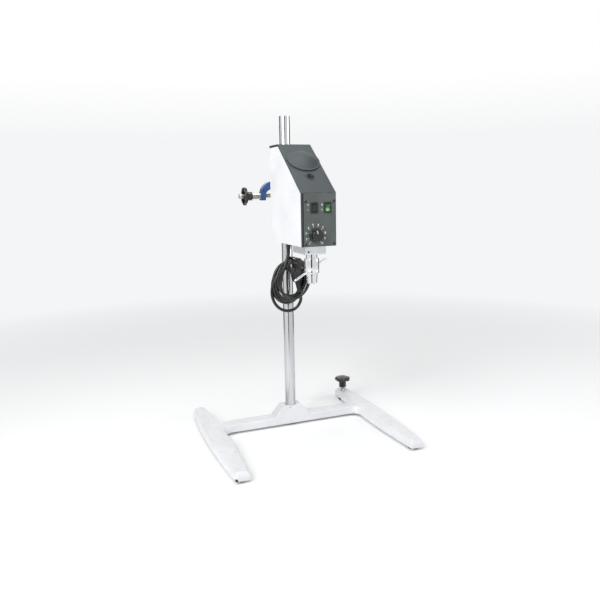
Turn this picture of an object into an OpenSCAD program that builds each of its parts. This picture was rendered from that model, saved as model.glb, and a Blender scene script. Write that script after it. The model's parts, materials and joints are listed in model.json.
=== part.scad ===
// Overhead laboratory stirrer on an H-shaped stand, in millimetres.
// Origin: middle of the stand's footprint, on the ground. +Z is up.
// -Y is the side that the operator faces.
// Everything is laid out from the stand rod's axis, which at_rod() puts in its place.

/* [Stand base] */
// Distance between the middle lines of the two legs
leg_spacing = 394; // [320:1:480]
// From the rod's axis to the front ends of the legs
leg_front = 266; // [220:1:330]
// From the rod's axis to the rear ends of the legs
leg_rear = 140; // [110:1:180]
// Width of a leg at its middle
leg_mid_w = 50; // [40:1:60]
// Width of a leg at its ends
leg_end_w = 31; // [24:1:38]
// Width of the cross bar
bar_w = 36; // [34:1:44]
// Height of the casting, without the feet
cast_h = 19; // [18:0.5:26]
// How far the sloping sides come in from the bottom to the top
edge_draft = 5.5; // [2:0.5:7]
// Height of the feet
foot_h = 5.4; // [4:0.2:9]
// Diameter of the feet
foot_d = 22; // [16:1:26]
// Height of the rod socket above the cross bar
socket_h = 26; // [20:1:40]
// Width of the rod socket at its top
socket_top_w = 48; // [42:1:60]
// Width of the rod socket where it meets the cross bar
socket_foot_w = 92; // [70:1:120]

/* [Levelling screw] */
// From the rod's axis back to the levelling screw
level_y = 108; // [90:1:114]
// How far the levelling screw stands inward from the leg's middle line
level_in = 6; // [0:0.5:6.5]
// Diameter of the levelling screw
level_d = 10; // [8:1:12]
// Diameter of the levelling knob
level_knob_d = 41; // [34:1:50]
// Height of the levelling knob's top above the ground
level_top = 64; // [56:1:80]

/* [Stand rod] */
// Diameter of the stand rod
rod_d = 25; // [20:0.5:28]
// Height of the rod's top above the ground
rod_top = 728; // [660:1:900]

/* [Boss head] */
// Height of the support arm's axis above the ground
arm_h = 552; // [480:1:580]
// Sideways distance between the rod's axis and the arm's axis
arm_offset = 22.5; // [22:0.5:26]
// Diameter of the support arm
arm_d = 13; // [10:0.5:14]
// Length of the support arm
arm_l = 162; // [140:1:200]
// Inner radius of the hook round the arm
hook_r = 13.7; // [12:0.1:15]
// Outer radius of the hook round the arm
hook_out = 29; // [26:0.5:31]
// Width of the hook round the arm
hook_w = 17; // [14:0.5:24]
// Height of the hook round the rod
rod_hook_h = 30; // [26:1:40]
// Diameter of the clamp screws' threads
clamp_thread_d = 8; // [6:1:10]
// Diameter of the clamp screws' plain collars
clamp_collar_d = 14; // [12:1:16]
// Diameter of the clamp knobs
clamp_knob_d = 41; // [34:1:46]
// Thickness of the clamp knobs' rims
clamp_knob_t = 6.5; // [5:0.5:10]

/* [Head housing] */
// Width of the head
head_w = 73; // [70:0.5:90]
// Depth of the head from front to back
head_d = 181; // [178:1:220]
// From the rod's axis forward to the head's rear face
head_gap = 65; // [56:1:80]
// Height of the head's underside above the ground
head_bottom = 455; // [400:1:470]
// Height of the vertical front
front_h = 104; // [98:1:120]
// Height of the whole housing
head_h = 203; // [190:1:230]
// Depth of the flat roof
roof_d = 52; // [40:1:70]
// Radius of the rounded rear bottom edge
rear_r = 18; // [8:1:24]
// Wall of the white shells
shell = 3; // [2:0.25:4]
// Wall of the dark front cover
cover_t = 2.5; // [2:0.25:3.5]
// Height of the cover's lip down the sides of the roof
lip_h = 5; // [3:0.5:8]
// Height of the seam between the two white shells, above the underside
seam_h = 95; // [88:1:99]

/* [Slope] */
// Diameter of the raised dome
dome_d = 69; // [50:1:69]
// Height of the dome's rim
dome_rim = 2.5; // [1:0.25:5]
// Height of the dome's crown above its rim
dome_crown = 5.5; // [3:0.5:8]
// How far up the slope the dome's middle is
dome_up = 104; // [98:0.5:108]
// Sideways place of the dome's middle
dome_side = 1.8; // [0:0.1:2]
// Diameter of the shaft port's bush
port_d = 19; // [18:0.5:24]
// Diameter of the hole through the shaft port
port_hole_d = 13; // [12:0.5:16]

/* [Control panel] */
// Width of the side strip left of the control plate
jamb_w = 3.2; // [2:0.2:5]
// Width of the groove beside the control plate
groove_w = 2; // [1:0.25:3]
// Thickness of the control plate
plate_t = 2; // [1.5:0.25:3]
// Height of the switches' middle above the underside
switch_h = 75; // [70:1:80]
// Sideways place of the range switch
range_x = -9.4; // [-12:0.1:-8]
// Sideways place of the power switch
power_x = 18.8; // [14:0.1:20]
// Width of a switch's bezel
bezel_w = 15; // [14:0.5:17]
// Height of a switch's bezel
bezel_h = 21; // [19:0.5:24]
// Sideways place of the speed dial
dial_x = -7; // [-9:0.1:0]
// Height of the speed dial above the underside
dial_h = 22.5; // [22:0.5:26]
// Diameter of the speed knob
dial_d = 28.6; // [24:0.2:30]
// How far the speed knob stands out from the plate
dial_t = 15; // [10:0.5:20]

/* [Drive] */
// From the head's front face back to the spindle's axis
spindle_back = 40; // [38:0.5:48]
// Diameter of the hollow spindle
spindle_d = 14; // [13:0.5:15]
// Diameter of the hole through the spindle
bore_d = 10.5; // [10:0.1:10.9]
// Outer diameter of the spindle bearings
bearing_d = 30; // [28:1:32]
// Height of the spindle bearings
bearing_h = 9; // [7:0.5:10]
// Distance between the spindle's axis and the motor's axis
drive_centres = 96; // [90:0.5:98]
// Teeth on the motor pulley
motor_teeth = 16; // [14:1:20]
// Teeth on the spindle pulley
spindle_teeth = 48; // [40:1:50]
// Pitch of the toothed belt
belt_pitch = 3; // [2.5:0.25:3]
// Width of the toothed belt
belt_w = 9; // [6:0.5:10]
// Diameter of the motor
motor_d = 58; // [50:1:60]
// Length of the motor's can
motor_l = 58; // [45:1:58]

/* [Chuck] */
// Largest shaft that the chuck holds
grip_d = 10; // [8:0.5:10]
// Diameter of the chuck's sleeve
sleeve_d = 30.3; // [30:0.1:34]
// Length of the chuck's sleeve
sleeve_l = 31.6; // [28:0.2:34]
// Diameter of the chuck's collar
collar_d = 23.4; // [20:0.2:26]
// Length of the chuck's collar
collar_l = 9; // [6:0.5:10]
// Diameter of the chuck's nose at the sleeve
nose_d = 22.8; // [22:0.2:24]
// Length of the chuck's nose
nose_l = 18.2; // [16:0.2:22]
// Slope of the jaws against the spindle
jaw_angle = 9; // [8:0.5:9.5]
// Diameter of a jaw
jaw_d = 5.2; // [5:0.1:5.4]
// Length of a jaw
jaw_l = 34; // [28:0.5:36]
// How far the jaws stand out of the nose when they are open
jaw_out = 3; // [2:0.5:5]

/* [Chuck key] */
// Direction of the key around the chuck
key_turn = 84; // [60:1:100]
// From the spindle's axis to the key's cross bar
key_reach = 48; // [40:1:56]
// Diameter of the key's shank
key_d = 8; // [7:0.5:10]
// Diameter of the cross bar
key_bar_d = 5; // [4:0.25:5]
// Length of the cross bar
key_bar_l = 85; // [60:1:100]
// Tilt of the cross bar above the level
key_bar_tilt = 33; // [0:1:90]
// How far the cross bar is pushed through the shank
key_bar_shift = 14; // [-20:1:20]

/* [Mains cord] */
// Diameter of the mains cord
cord_d = 7; // [6:0.5:8]
// Diameter of the cord gland
gland_d = 14; // [12:0.5:16]
// Half the outer width of the hanging coil
coil_half_w = 38; // [34:1:44]
// Half the length of the coil's straight sides
coil_straight = 20; // [10:1:30]
// Width of the bundle of turns
bundle_w = 24; // [20:1:28]
// Depth of the bundle of turns
bundle_t = 36; // [24:1:40]
// Diameter of the plug's face
plug_d = 34; // [30:1:38]
// Length of the plug, without its strain relief
plug_l = 36; // [32:1:42]

/* [Hidden] */
run_fit = 0.05; // radial clearance of a running fit
gap = 0.3; // clearance between pieces that don't touch
fine = 96;
round_n = 48;

rod_y = (leg_front - leg_rear) / 2; // the footprint's middle is the origin
base_top = foot_h + cast_h;
socket_top = base_top + socket_h;
leg_half = (leg_front + leg_rear) / 2;
leg_mid_y = (leg_rear - leg_front) / 2;
leg_bow = (leg_mid_w - leg_end_w) / 2;
fillet_r = 22;
rod_seat = foot_h + 11;
rod_thread_d = 10;
counterbore_d = 27;
counterbore_h = 7;
foot_inset = 21;
level_x = leg_spacing / 2 - level_in;
level_rim = 7;
level_crown = 4;
level_hub_l = 18;

arm_x = -arm_offset;
hook_x = arm_x - hook_r - 0.8; // the hook's inner circle
hook_out_x = hook_x + 4; // the hook's outer circle
hook_out_z = 3.5;
hook_leg = 10;
rod_hook_x = 3;
rod_hook_r = rod_d / 2 + 16.5;
clamp_hub_d = 20;
clamp_hub_l = 13;
clamp_collar_l = 20;
clamp_crown = 3;
clamp_tip = 8;

front_y = -(head_gap + head_d);
rear_y = -head_gap;
head_top = head_bottom + head_h;
slope_z = head_bottom + front_h;
roof_y = rear_y - roof_d;
slope_a = atan((head_top - slope_z) / (roof_y - front_y));
seam_z = head_bottom + seam_h;
lip_t = 1.2;

plate_left = -head_w / 2 + jamb_w + groove_w;
plate_right = head_w / 2 - 1;
plate_mid = (plate_left + plate_right) / 2;
plate_w = plate_right - plate_left;
plate_h = front_h - 2;
plate_screw_in = 3.9;
plate_screw_low = 5;
plate_screw_high = 16.5;
plate_back = front_y + plate_t;
panel_back = plate_back + cover_t;
switch_z = head_bottom + switch_h;
dial_z = head_bottom + dial_h;
bezel_t = 1.5;
switch_w = 12;
switch_body_h = 17.5;
switch_deep = 13;
pot_d = 24;
pot_shaft_d = 6;

spindle_y = front_y + spindle_back;
motor_y = spindle_y + drive_centres;
floor_t = 3;
plate_bottom_z = head_bottom + shell;
deck_z = head_bottom + 82; // underside of the chassis deck
deck_t = 3;
deck_top = deck_z + deck_t;
chassis_w = head_w - 2 * shell - 1;
chassis_front = front_y + 28;
chassis_rear = rear_y - shell;
bearing_boss_d = bearing_d + 8;
bearing_boss_h = 11;
post_d = 8;
post_x = 28;
post_y = spindle_y - 4;
arm_socket_l = 26;
arm_socket_w = 26;
arm_socket_top = arm_h + 13;
arm_front = chassis_rear - arm_socket_l + 2;

block_w = 45;
block_front = spindle_y - 22;
block_rear = spindle_y + 46;
block_h = 17;
block_z = head_bottom - block_h;
block_screw_x = 18;
block_screw_y = 40;
low_bearing_z = block_z + 5;
high_bearing_z = deck_top - bearing_h;

pulley_z = deck_top + 3.5;
pulley_h = belt_w + 4;
flange_t = 1.5;
belt_t = 1.6;
motor_pulley_r = motor_teeth * belt_pitch / (2 * PI);
spindle_pulley_r = spindle_teeth * belt_pitch / (2 * PI);
spindle_top = slope_z + 15;
motor_shaft_d = 8;
motor_wall = 3;
motor_top = deck_z;
motor_bottom = motor_top - motor_l;
rotor_d = motor_d - 16;
rotor_margin = 8;
fan_h = 8;
fan_z = motor_bottom - fan_h - 3;
fan_d = 50;
fan_blades = 8;

collar_top = block_z - 0.6;
sleeve_top = collar_top - collar_l;
sleeve_z = sleeve_top - sleeve_l;
nose_z = sleeve_z - nose_l;
nose_tip_d = nose_d - 1.8;
sleeve_wall = 1.6;
chuck_core_d = sleeve_d - 2 * sleeve_wall - 2 * run_fit;
chuck_bore_d = grip_d + 2;
spindle_end = collar_top - 14;
jaw_tip_z = nose_z - jaw_out;
jaw_tip_r = grip_d / 2 - 0.1;
jaw_nose_w = 3.3;
jaw_first = key_turn - 60;
jaw_flare = 58;
key_z = sleeve_z - 5;
key_hole_d = 5;
key_hole_deep = 4.5;
key_pinion_d = 8.6;

board_z = deck_top + 34;
board_t = 1.6;
board_w = 54;
board_front = roof_y - 16;
board_rear = chassis_rear - 5;
board_post_d = 6;

// Where the cord leaves the gland, and the points that its free stretch follows
gland_x = -30;
gland_y = -92;
gland_tip = 438;
lead_points = [
    [-30, -92, 446], [-30, -92, 437], [-30, -91.5, 430], [-30, -90, 423], [-30, -87.5, 416],
    [-30.5, -84.5, 409.5], [-31.6, -81, 402]
];
lead_sides = 10;
coil_x = -18;
coil_y = -62;
coil_z = 358;
coil_tilt = 18;
plug_face = [-13, -80, 398];
plug_back = [2, -71, 338.5];
plug_grip_d = 24;
plug_head_l = 16;
plug_pin_d = 4.8;
plug_pin_l = 17;
plug_pin_side = 9.5;
tie_side = 12; // degrees from the top of the coil to the tie
tie_w = 12;
tie_t = 1.6;

// ---- Helpers ----

module at_rod() {
    translate([0, rod_y, 0]) children();
}

module at_head() {
    translate([arm_x, rod_y, 0]) children();
}

module at_spindle() {
    translate([arm_x, rod_y + spindle_y, 0]) children();
}

module at_motor() {
    translate([arm_x, rod_y + motor_y, 0]) children();
}

// Extrudes an outline drawn as (y, z) along X, centred
module along_x(w) {
    translate([-w / 2, 0, 0]) rotate([90, 0, 90]) linear_extrude(w) children();
}

// A straight cylinder along X, from x0 to x1
module rod_x(x0, x1, d) {
    translate([x0, 0, 0]) rotate([0, 90, 0]) cylinder(h = x1 - x0, d = d, $fn = round_n);
}

// A straight cylinder along Y, from y0 to y1
module rod_y_dir(y0, y1, d) {
    translate([0, y0, 0]) rotate([-90, 0, 0]) cylinder(h = y1 - y0, d = d, $fn = round_n);
}

module tube(h, d_out, d_in) {
    difference() {
        cylinder(h = h, d = d_out, $fn = fine);
        translate([0, 0, -1]) cylinder(h = h + 2, d = d_in, $fn = fine);
    }
}

// Puts children on the slope: x across, y up the slope, z out of it
module on_slope(side, up) {
    translate([side, front_y, slope_z]) rotate([slope_a, 0, 0]) translate([0, up, 0]) children();
}

// A lobed hand knob on a hub, its axis along Z from 0 up, with a domed top
module star_knob(d, hub_d, hub_l, rim, crown) {
    cylinder(h = hub_l + 0.5, d = hub_d, $fn = round_n);
    translate([0, 0, hub_l]) intersection() {
        linear_extrude(rim + crown) difference() {
            circle(d = d, $fn = fine);
            for (i = [0:6])
                rotate(360 * i / 7) translate([d * 0.6, 0]) circle(d = d * 0.32, $fn = round_n);
        }
        rotate_extrude($fn = fine) polygon(concat(
            [[0, 0], [d / 2 - 2, 0], [d / 2, 1.5]],
            [for (i = [0:6]) [d / 2 * cos(15 * i), rim + crown * sin(15 * i)]]
        ));
    }
}

// The head's side outline, as (y, z), with each edge moved inwards by its own amount
function slope_at(y, inset) = slope_z + (y - front_y) * tan(slope_a) - inset / cos(slope_a);
function slope_to(z, inset) = front_y + (z - slope_z + inset / cos(slope_a)) / tan(slope_a);
function head_outline(f, s, t, r, b) = concat(
    [
        [front_y + f, head_bottom + b],
        [front_y + f, slope_at(front_y + f, s)],
        [slope_to(head_top - t, s), head_top - t],
        [rear_y - r, head_top - t]
    ],
    [
        for (i = [0:10])
            let (a = -9 * i, q = max(rear_r - max(r, b, 0), 1))
            [rear_y - r - q + q * cos(a), head_bottom + b + q + q * sin(a)]
    ]
);

// ---- Stand ----

module leg_outline(inset) {
    n = 8;
    polygon(concat(
        [
            for (i = [-n:n])
                let (k = i / n)
                [leg_spacing / 2 + leg_mid_w / 2 - leg_bow * k * k - inset,
                 leg_mid_y + (leg_half - inset) * k]
        ],
        [
            for (i = [-n:n])
                let (k = -i / n)
                [leg_spacing / 2 - leg_mid_w / 2 + leg_bow * k * k + inset,
                 leg_mid_y + (leg_half - inset) * k]
        ]
    ));
}

module leg() {
    hull() {
        linear_extrude(cast_h * 0.5) leg_outline(0);
        linear_extrude(cast_h) leg_outline(edge_draft);
    }
}

// Rounds the corner between a leg and the cross bar, and follows the leg's sloping side
module corner_fillet() {
    difference() {
        translate([-8, -4, 0]) cube([fillet_r + 8, fillet_r + 4, cast_h]);
        translate([fillet_r, fillet_r, -1]) cylinder(h = cast_h + 2, r = fillet_r, $fn = fine);
        translate([fillet_r, fillet_r, cast_h / 2])
            cylinder(h = cast_h / 2, r1 = fillet_r, r2 = fillet_r + edge_draft, $fn = fine);
    }
}

module base_casting() {
    inner = leg_spacing / 2 - leg_mid_w / 2 + 0.4;
    color("whitesmoke") at_rod() difference() {
        union() {
            translate([0, 0, foot_h]) {
                leg();
                mirror([1, 0, 0]) leg();
            }
            translate([-inner - 12, -bar_w / 2, foot_h]) cube([2 * inner + 24, bar_w, cast_h]);
            for (sx = [0, 1], sy = [0, 1])
                mirror([sx, 0, 0]) mirror([0, sy, 0])
                    translate([inner + 2.2 * (1 - sy), bar_w / 2, foot_h]) mirror([1, 0, 0]) corner_fillet();
            hull() {
                translate([-socket_foot_w / 2, -bar_w / 2, base_top - 1]) cube([socket_foot_w, bar_w, 1]);
                translate([-socket_top_w / 2, -bar_w / 2 + 3, socket_top - 1])
                    cube([socket_top_w, bar_w - 3, 1]);
            }
        }
        translate([0, 0, rod_seat]) cylinder(h = socket_h + cast_h, r = rod_d / 2 + run_fit, $fn = fine);
        translate([0, 0, foot_h - 1]) cylinder(h = rod_seat, d = rod_thread_d + 2, $fn = round_n);
        translate([0, 0, foot_h - 1]) cylinder(h = counterbore_h + 1, d = counterbore_d, $fn = round_n);
        translate([level_x, level_y, foot_h - 1])
            cylinder(h = cast_h + 2, r = level_d / 2 + run_fit, $fn = round_n);
    }
}

module foot(x, y) {
    translate([x, y, 0]) cylinder(h = foot_h, d = foot_d, $fn = round_n);
}

module rubber_feet() {
    color("dimgray") at_rod() {
        foot(-leg_spacing / 2, -leg_front + foot_inset);
        foot(leg_spacing / 2, -leg_front + foot_inset);
        foot(-leg_spacing / 2, leg_rear - foot_inset);
    }
}

module levelling_foot() {
    color("dimgray") at_rod() difference() {
        foot(level_x, level_y);
        translate([level_x, level_y, foot_h - 2.4]) cylinder(h = 4, d = level_d + 1, $fn = round_n);
    }
}

module levelling_screw() {
    color("silver") at_rod() translate([level_x, level_y, foot_h - 2.2])
        cylinder(h = level_top - level_crown - 1 - foot_h + 2.2, d = level_d, $fn = round_n);
}

module levelling_knob() {
    low = level_top - level_crown - level_rim - level_hub_l;
    color("black") at_rod() translate([level_x, level_y, low]) difference() {
        star_knob(level_knob_d, level_d + 8, level_hub_l, level_rim, level_crown);
        translate([0, 0, -1]) cylinder(h = level_hub_l + level_rim, d = level_d, $fn = round_n);
    }
}

module stand_rod() {
    chamfer = 1.5;
    color("silver") at_rod() difference() {
        rotate_extrude($fn = fine) polygon([
            [0, rod_seat + run_fit], [rod_d / 2 - 1, rod_seat + run_fit],
            [rod_d / 2, rod_seat + run_fit + 1], [rod_d / 2, rod_top - chamfer],
            [rod_d / 2 - chamfer, rod_top], [0, rod_top]
        ]);
        translate([0, 0, rod_seat - 1]) cylinder(h = 26, d = rod_thread_d, $fn = round_n);
    }
}

module rod_screw() {
    head_z = foot_h + counterbore_h - 2 - 4;
    color("dimgray") at_rod() difference() {
        union() {
            translate([0, 0, head_z - 2]) cylinder(h = 6 - run_fit, d = 16, $fn = round_n);
            translate([0, 0, head_z]) cylinder(h = rod_seat + 22 - head_z, d = rod_thread_d, $fn = round_n);
        }
        translate([0, 0, head_z - 3]) cylinder(h = 4.5, d = 8, $fn = 6);
    }
}

module rod_washer() {
    color("lightgray") at_rod() translate([0, 0, foot_h + counterbore_h - 2 - run_fit])
        tube(2, 22, rod_thread_d);
}

// ---- Boss head and clamp screws ----

module arm_hook() {
    left = hook_out_x - hook_out;
    difference() {
        union() {
            translate([hook_out_x, hook_out_z]) circle(r = hook_out, $fn = fine);
            translate([left, -hook_leg]) square([hook_x - hook_r - left, hook_leg + hook_out_z]);
        }
        translate([hook_x, 0.5]) circle(r = hook_r, $fn = fine);
        translate([hook_x - hook_r, -60]) square([2 * hook_r, 60.5]);
        translate([left - 1, -60]) square([hook_x - left, 60 - hook_leg]);
        translate([-rod_d / 2 - run_fit, -60]) square([100, 160]);
        translate([-100, -82]) square([200, 60]);
    }
}

module rod_hook_outline() {
    difference() {
        union() {
            translate([rod_hook_x, 0]) circle(r = rod_hook_r, $fn = fine);
            translate([arm_x + 1, -17]) square([17, 34]);
        }
        circle(r = rod_d / 2 + run_fit, $fn = fine);
        translate([-rod_d / 2 - run_fit, 0]) square([rod_d + 2 * run_fit, rod_hook_r + 5]);
    }
}

module boss_head() {
    color("steelblue") at_rod() difference() {
        union() {
            translate([0, hook_w / 2, arm_h]) rotate([90, 0, 0]) linear_extrude(hook_w) arm_hook();
            translate([0, 0, arm_h - rod_hook_h / 2]) linear_extrude(rod_hook_h) rod_hook_outline();
        }
        translate([arm_x, 0, arm_h]) rod_y_dir(-60, 60, arm_d + 2 * run_fit);
        translate([arm_x - arm_d / 2 - 4, -60, arm_h - hook_out]) cube([arm_d / 2 + 4, 120, hook_out]);
        translate([0, 0, arm_h]) rod_x(-100, hook_x, clamp_thread_d + 2 * run_fit);
        translate([0, 0, arm_h]) rod_x(rod_d / 2, 80, clamp_thread_d + 2 * run_fit);
    }
}

// A clamp screw along +X whose tip is at x = 0 and whose collar starts at x = reach
module clamp_screw(reach) {
    knob = reach + clamp_collar_l + clamp_hub_l + clamp_knob_t + clamp_crown;
    color("silver") {
        rod_x(0, knob, clamp_thread_d);
        rod_x(reach + gap, reach + clamp_collar_l, clamp_collar_d);
        rod_x(knob, knob + clamp_tip, clamp_thread_d + 4);
    }
}

module clamp_knob(reach) {
    hub = reach + clamp_collar_l;
    color("black") difference() {
        translate([hub, 0, 0]) rotate([0, 90, 0])
            star_knob(clamp_knob_d, clamp_hub_d, clamp_hub_l, clamp_knob_t, clamp_crown);
        rod_x(hub - 1, hub + 60, clamp_thread_d);
    }
}

rod_clamp_reach = rod_hook_x + rod_hook_r - rod_d / 2 - gap;
arm_clamp_reach = hook_out - hook_out_x + arm_x - arm_d / 2 - gap;

module at_rod_clamp() {
    translate([rod_d / 2 + gap, rod_y, arm_h]) children();
}

module at_arm_clamp() {
    translate([arm_x - arm_d / 2 - gap, rod_y, arm_h]) mirror([1, 0, 0]) children();
}

module rod_clamp_screw() {
    at_rod_clamp() clamp_screw(rod_clamp_reach);
}

module rod_clamp_knob() {
    at_rod_clamp() clamp_knob(rod_clamp_reach);
}

module arm_clamp_screw() {
    at_arm_clamp() clamp_screw(arm_clamp_reach);
}

module arm_clamp_knob() {
    at_arm_clamp() clamp_knob(arm_clamp_reach);
}

module support_arm() {
    color("gainsboro") at_head() translate([0, 0, arm_h]) rotate([-90, 0, 0]) translate([0, 0, arm_front])
        rotate_extrude($fn = fine) polygon([
            [0, 0], [arm_d / 2 - 1, 0], [arm_d / 2, 1], [arm_d / 2, arm_l - 1],
            [arm_d / 2 - 1, arm_l], [0, arm_l]
        ]);
}

// ---- Head housing ----

module white_shell() {
    at_head() difference() {
        along_x(head_w) polygon(head_outline(cover_t, cover_t, lip_h, 0, 0));
        along_x(head_w - 2 * shell) polygon(head_outline(-5, -5, -5, shell, shell));
        translate([shell - head_w / 2, front_y - 1, head_bottom - 1])
            cube([head_w - 2 * shell, cover_t + plate_t + 1, shell + 2]);
        translate([0, 0, arm_h]) rod_y_dir(rear_y - 10, rear_y + 10, arm_d + 2);
        translate([0, spindle_y, head_bottom - 1]) cylinder(h = 9, d = bearing_d + 6, $fn = fine);
        translate([gland_x - arm_x, gland_y, head_bottom - 1])
            cylinder(h = 9, d = gland_d - 3, $fn = round_n);
        for (p = housing_screw_places) translate([p[0], 0, p[1]]) rod_y_dir(rear_y - 10, rear_y + 10, 3);
        for (sx = [-1, 1], y = [block_front + 6, block_front + 6 + block_screw_y])
            translate([sx * block_screw_x, y, head_bottom - 1]) cylinder(h = 9, d = 4, $fn = 24);
    }
}

housing_screw_places = [[-27, arm_h - 60], [27, arm_h - 60], [-27, arm_h + 13], [27, arm_h + 13]];

module lower_housing() {
    color("white") intersection() {
        white_shell();
        translate([-200, -300, head_bottom - 10]) cube([400, 600, seam_h + 10]);
    }
}

module upper_housing() {
    color("white") intersection() {
        white_shell();
        translate([-200, -300, seam_z]) cube([400, 600, head_h]);
    }
}

module panel_holes(deep) {
    for (x = [range_x, power_x])
        translate([x - switch_w / 2, front_y - 1, switch_z - switch_body_h / 2])
            cube([switch_w, deep + 1, switch_body_h]);
    translate([dial_x, 0, dial_z]) rod_y_dir(front_y - 1, front_y + deep, 10);
    at_plate_screws() rod_y_dir(front_y - 1, front_y + deep, 3);
}

module at_plate_screws() {
    for (sx = [-1, 1], z = [plate_screw_low, front_h - plate_screw_high])
        translate([plate_mid + sx * (plate_w / 2 - plate_screw_in), 0, head_bottom + z]) children();
}

module front_cover() {
    color("darkslategray") at_head() {
        difference() {
            union() {
                difference() {
                    along_x(head_w) polygon(head_outline(0, 0, 0, 0, 0));
                    along_x(head_w + 2) polygon([
                        [panel_back, head_bottom - 5], [panel_back, slope_at(panel_back, cover_t)],
                        [slope_to(head_top - cover_t, cover_t), head_top - cover_t],
                        [rear_y + 5, head_top - cover_t], [rear_y + 5, head_bottom - 5]
                    ]);
                    translate([plate_left - groove_w, front_y - 1, head_bottom - 1])
                        cube([plate_w + groove_w, plate_t + 1, front_h]);
                    for (sx = [-1, 1])
                        translate([sx * head_w / 2, 0, 0]) along_x(2 * shell + 2 * gap) polygon([
                            [front_y + cover_t, head_bottom - 5],
                            [front_y + cover_t, slope_at(front_y + cover_t, cover_t)],
                            [slope_to(head_top - lip_h, cover_t), head_top - lip_h],
                            [rear_y + 5, head_top - lip_h], [rear_y + 5, head_bottom - 5]
                        ]);
                }
                for (sx = [-1, 1])
                    translate([sx * (head_w / 2 - lip_t / 2), 0, 0]) along_x(lip_t) polygon([
                        [slope_to(head_top - lip_h, 1), head_top - lip_h],
                        [slope_to(head_top - 1, 1), head_top - 1],
                        [rear_y, head_top - 1], [rear_y, head_top - lip_h]
                    ]);
                translate([-head_w / 2, rear_y - lip_t, head_top - lip_h]) cube([head_w, lip_t, lip_h]);
                on_slope(dome_side, dome_up) {
                    translate([0, 0, -1]) cylinder(h = 1 + dome_rim, d = dome_d, $fn = fine);
                    intersection() {
                        translate([0, 0, dome_rim + dome_crown - dome_ball])
                            sphere(r = dome_ball, $fn = fine);
                        cylinder(h = 30, d = dome_d - 3, $fn = fine);
                    }
                }
            }
            translate([0, spindle_y, slope_z]) cylinder(h = head_h, d = port_d, $fn = fine);
            panel_holes(cover_t + plate_t + 1);
        }
    }
}

dome_ball = (pow(dome_d / 2 - 1.5, 2) + pow(dome_crown, 2)) / (2 * dome_crown);

module shaft_port() {
    color("darkslategray") at_head() intersection() {
        translate([0, spindle_y, slope_z]) tube(head_h, port_d, port_hole_d);
        on_slope(0, spindle_back / cos(slope_a)) translate([-30, -30, -6]) cube([60, 60, 7.2]);
    }
}

module control_plate() {
    color("dimgray") at_head() difference() {
        translate([plate_left, front_y, head_bottom + 1]) cube([plate_w, plate_t, plate_h]);
        panel_holes(plate_t + 1);
    }
}

module plate_screws() {
    color("black") at_head() at_plate_screws() {
        rod_y_dir(front_y - 1.2, front_y, 5.6);
        rod_y_dir(front_y, front_y + cover_t + plate_t + 3, 3);
    }
}

// A rocker switch's frame and body, the middle of its face at the origin, -Y outwards
module switch_frame() {
    wall = 1.2;
    difference() {
        union() {
            translate([-bezel_w / 2, -bezel_t, -bezel_h / 2]) cube([bezel_w, bezel_t, bezel_h]);
            translate([-switch_w / 2, 0, -switch_body_h / 2]) cube([switch_w, switch_deep, switch_body_h]);
        }
        translate([-switch_w / 2 + wall, -bezel_t - 1, -switch_body_h / 2 + wall])
            cube([switch_w - 2 * wall, bezel_t + 9.6, switch_body_h - 2 * wall]);
    }
}

// The rocker: a round-backed paddle with two flat faces, at rest with its lower half pressed
module rocker() {
    wide = switch_w - 2 * 1.2 - 2 * gap;
    rotate([rocker_rest, 0, 0]) along_x(wide) intersection() {
        circle(r = 7.1, $fn = round_n);
        polygon([[-3.4, 7.5], [-2.2, 0], [-3.4, -7.5], [8, -7.5], [8, 7.5]]);
    }
}

rocker_rest = 6;
rocker_y = 1;

module at_switch(x) {
    at_head() translate([x, front_y, switch_z]) children();
}

module range_switch() {
    color("black") at_switch(range_x) switch_frame();
}

module range_rocker() {
    color("black") at_switch(range_x) translate([0, rocker_y, 0]) rocker();
}

module power_switch() {
    color("black") at_switch(power_x) switch_frame();
}

module power_rocker() {
    color("limegreen") at_switch(power_x) translate([0, rocker_y, 0]) rocker();
}

module speed_knob() {
    skirt = 3;
    color("black") at_head() translate([dial_x, 0, dial_z]) difference() {
        union() {
            rod_y_dir(front_y - gap - skirt, front_y - gap, dial_d);
            rod_y_dir(front_y - gap - dial_t, front_y - gap - skirt, dial_d * 0.82);
        }
        rod_y_dir(front_y - gap - dial_t + 3, front_y, pot_shaft_d);
    }
}

module speed_shaft() {
    color("silver") at_head() translate([dial_x, 0, dial_z])
        rod_y_dir(front_y - gap - dial_t + 3, panel_back + 6, pot_shaft_d);
}

module speed_potentiometer() {
    color("silver") at_head() translate([dial_x, 0, dial_z]) difference() {
        union() {
            rod_y_dir(front_y + 0.2, panel_back, 9.6);
            rod_y_dir(panel_back, panel_back + 12, pot_d);
        }
        rod_y_dir(front_y - 1, panel_back + 7, pot_shaft_d + 2 * run_fit);
    }
}

// ---- Inside the head ----

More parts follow.
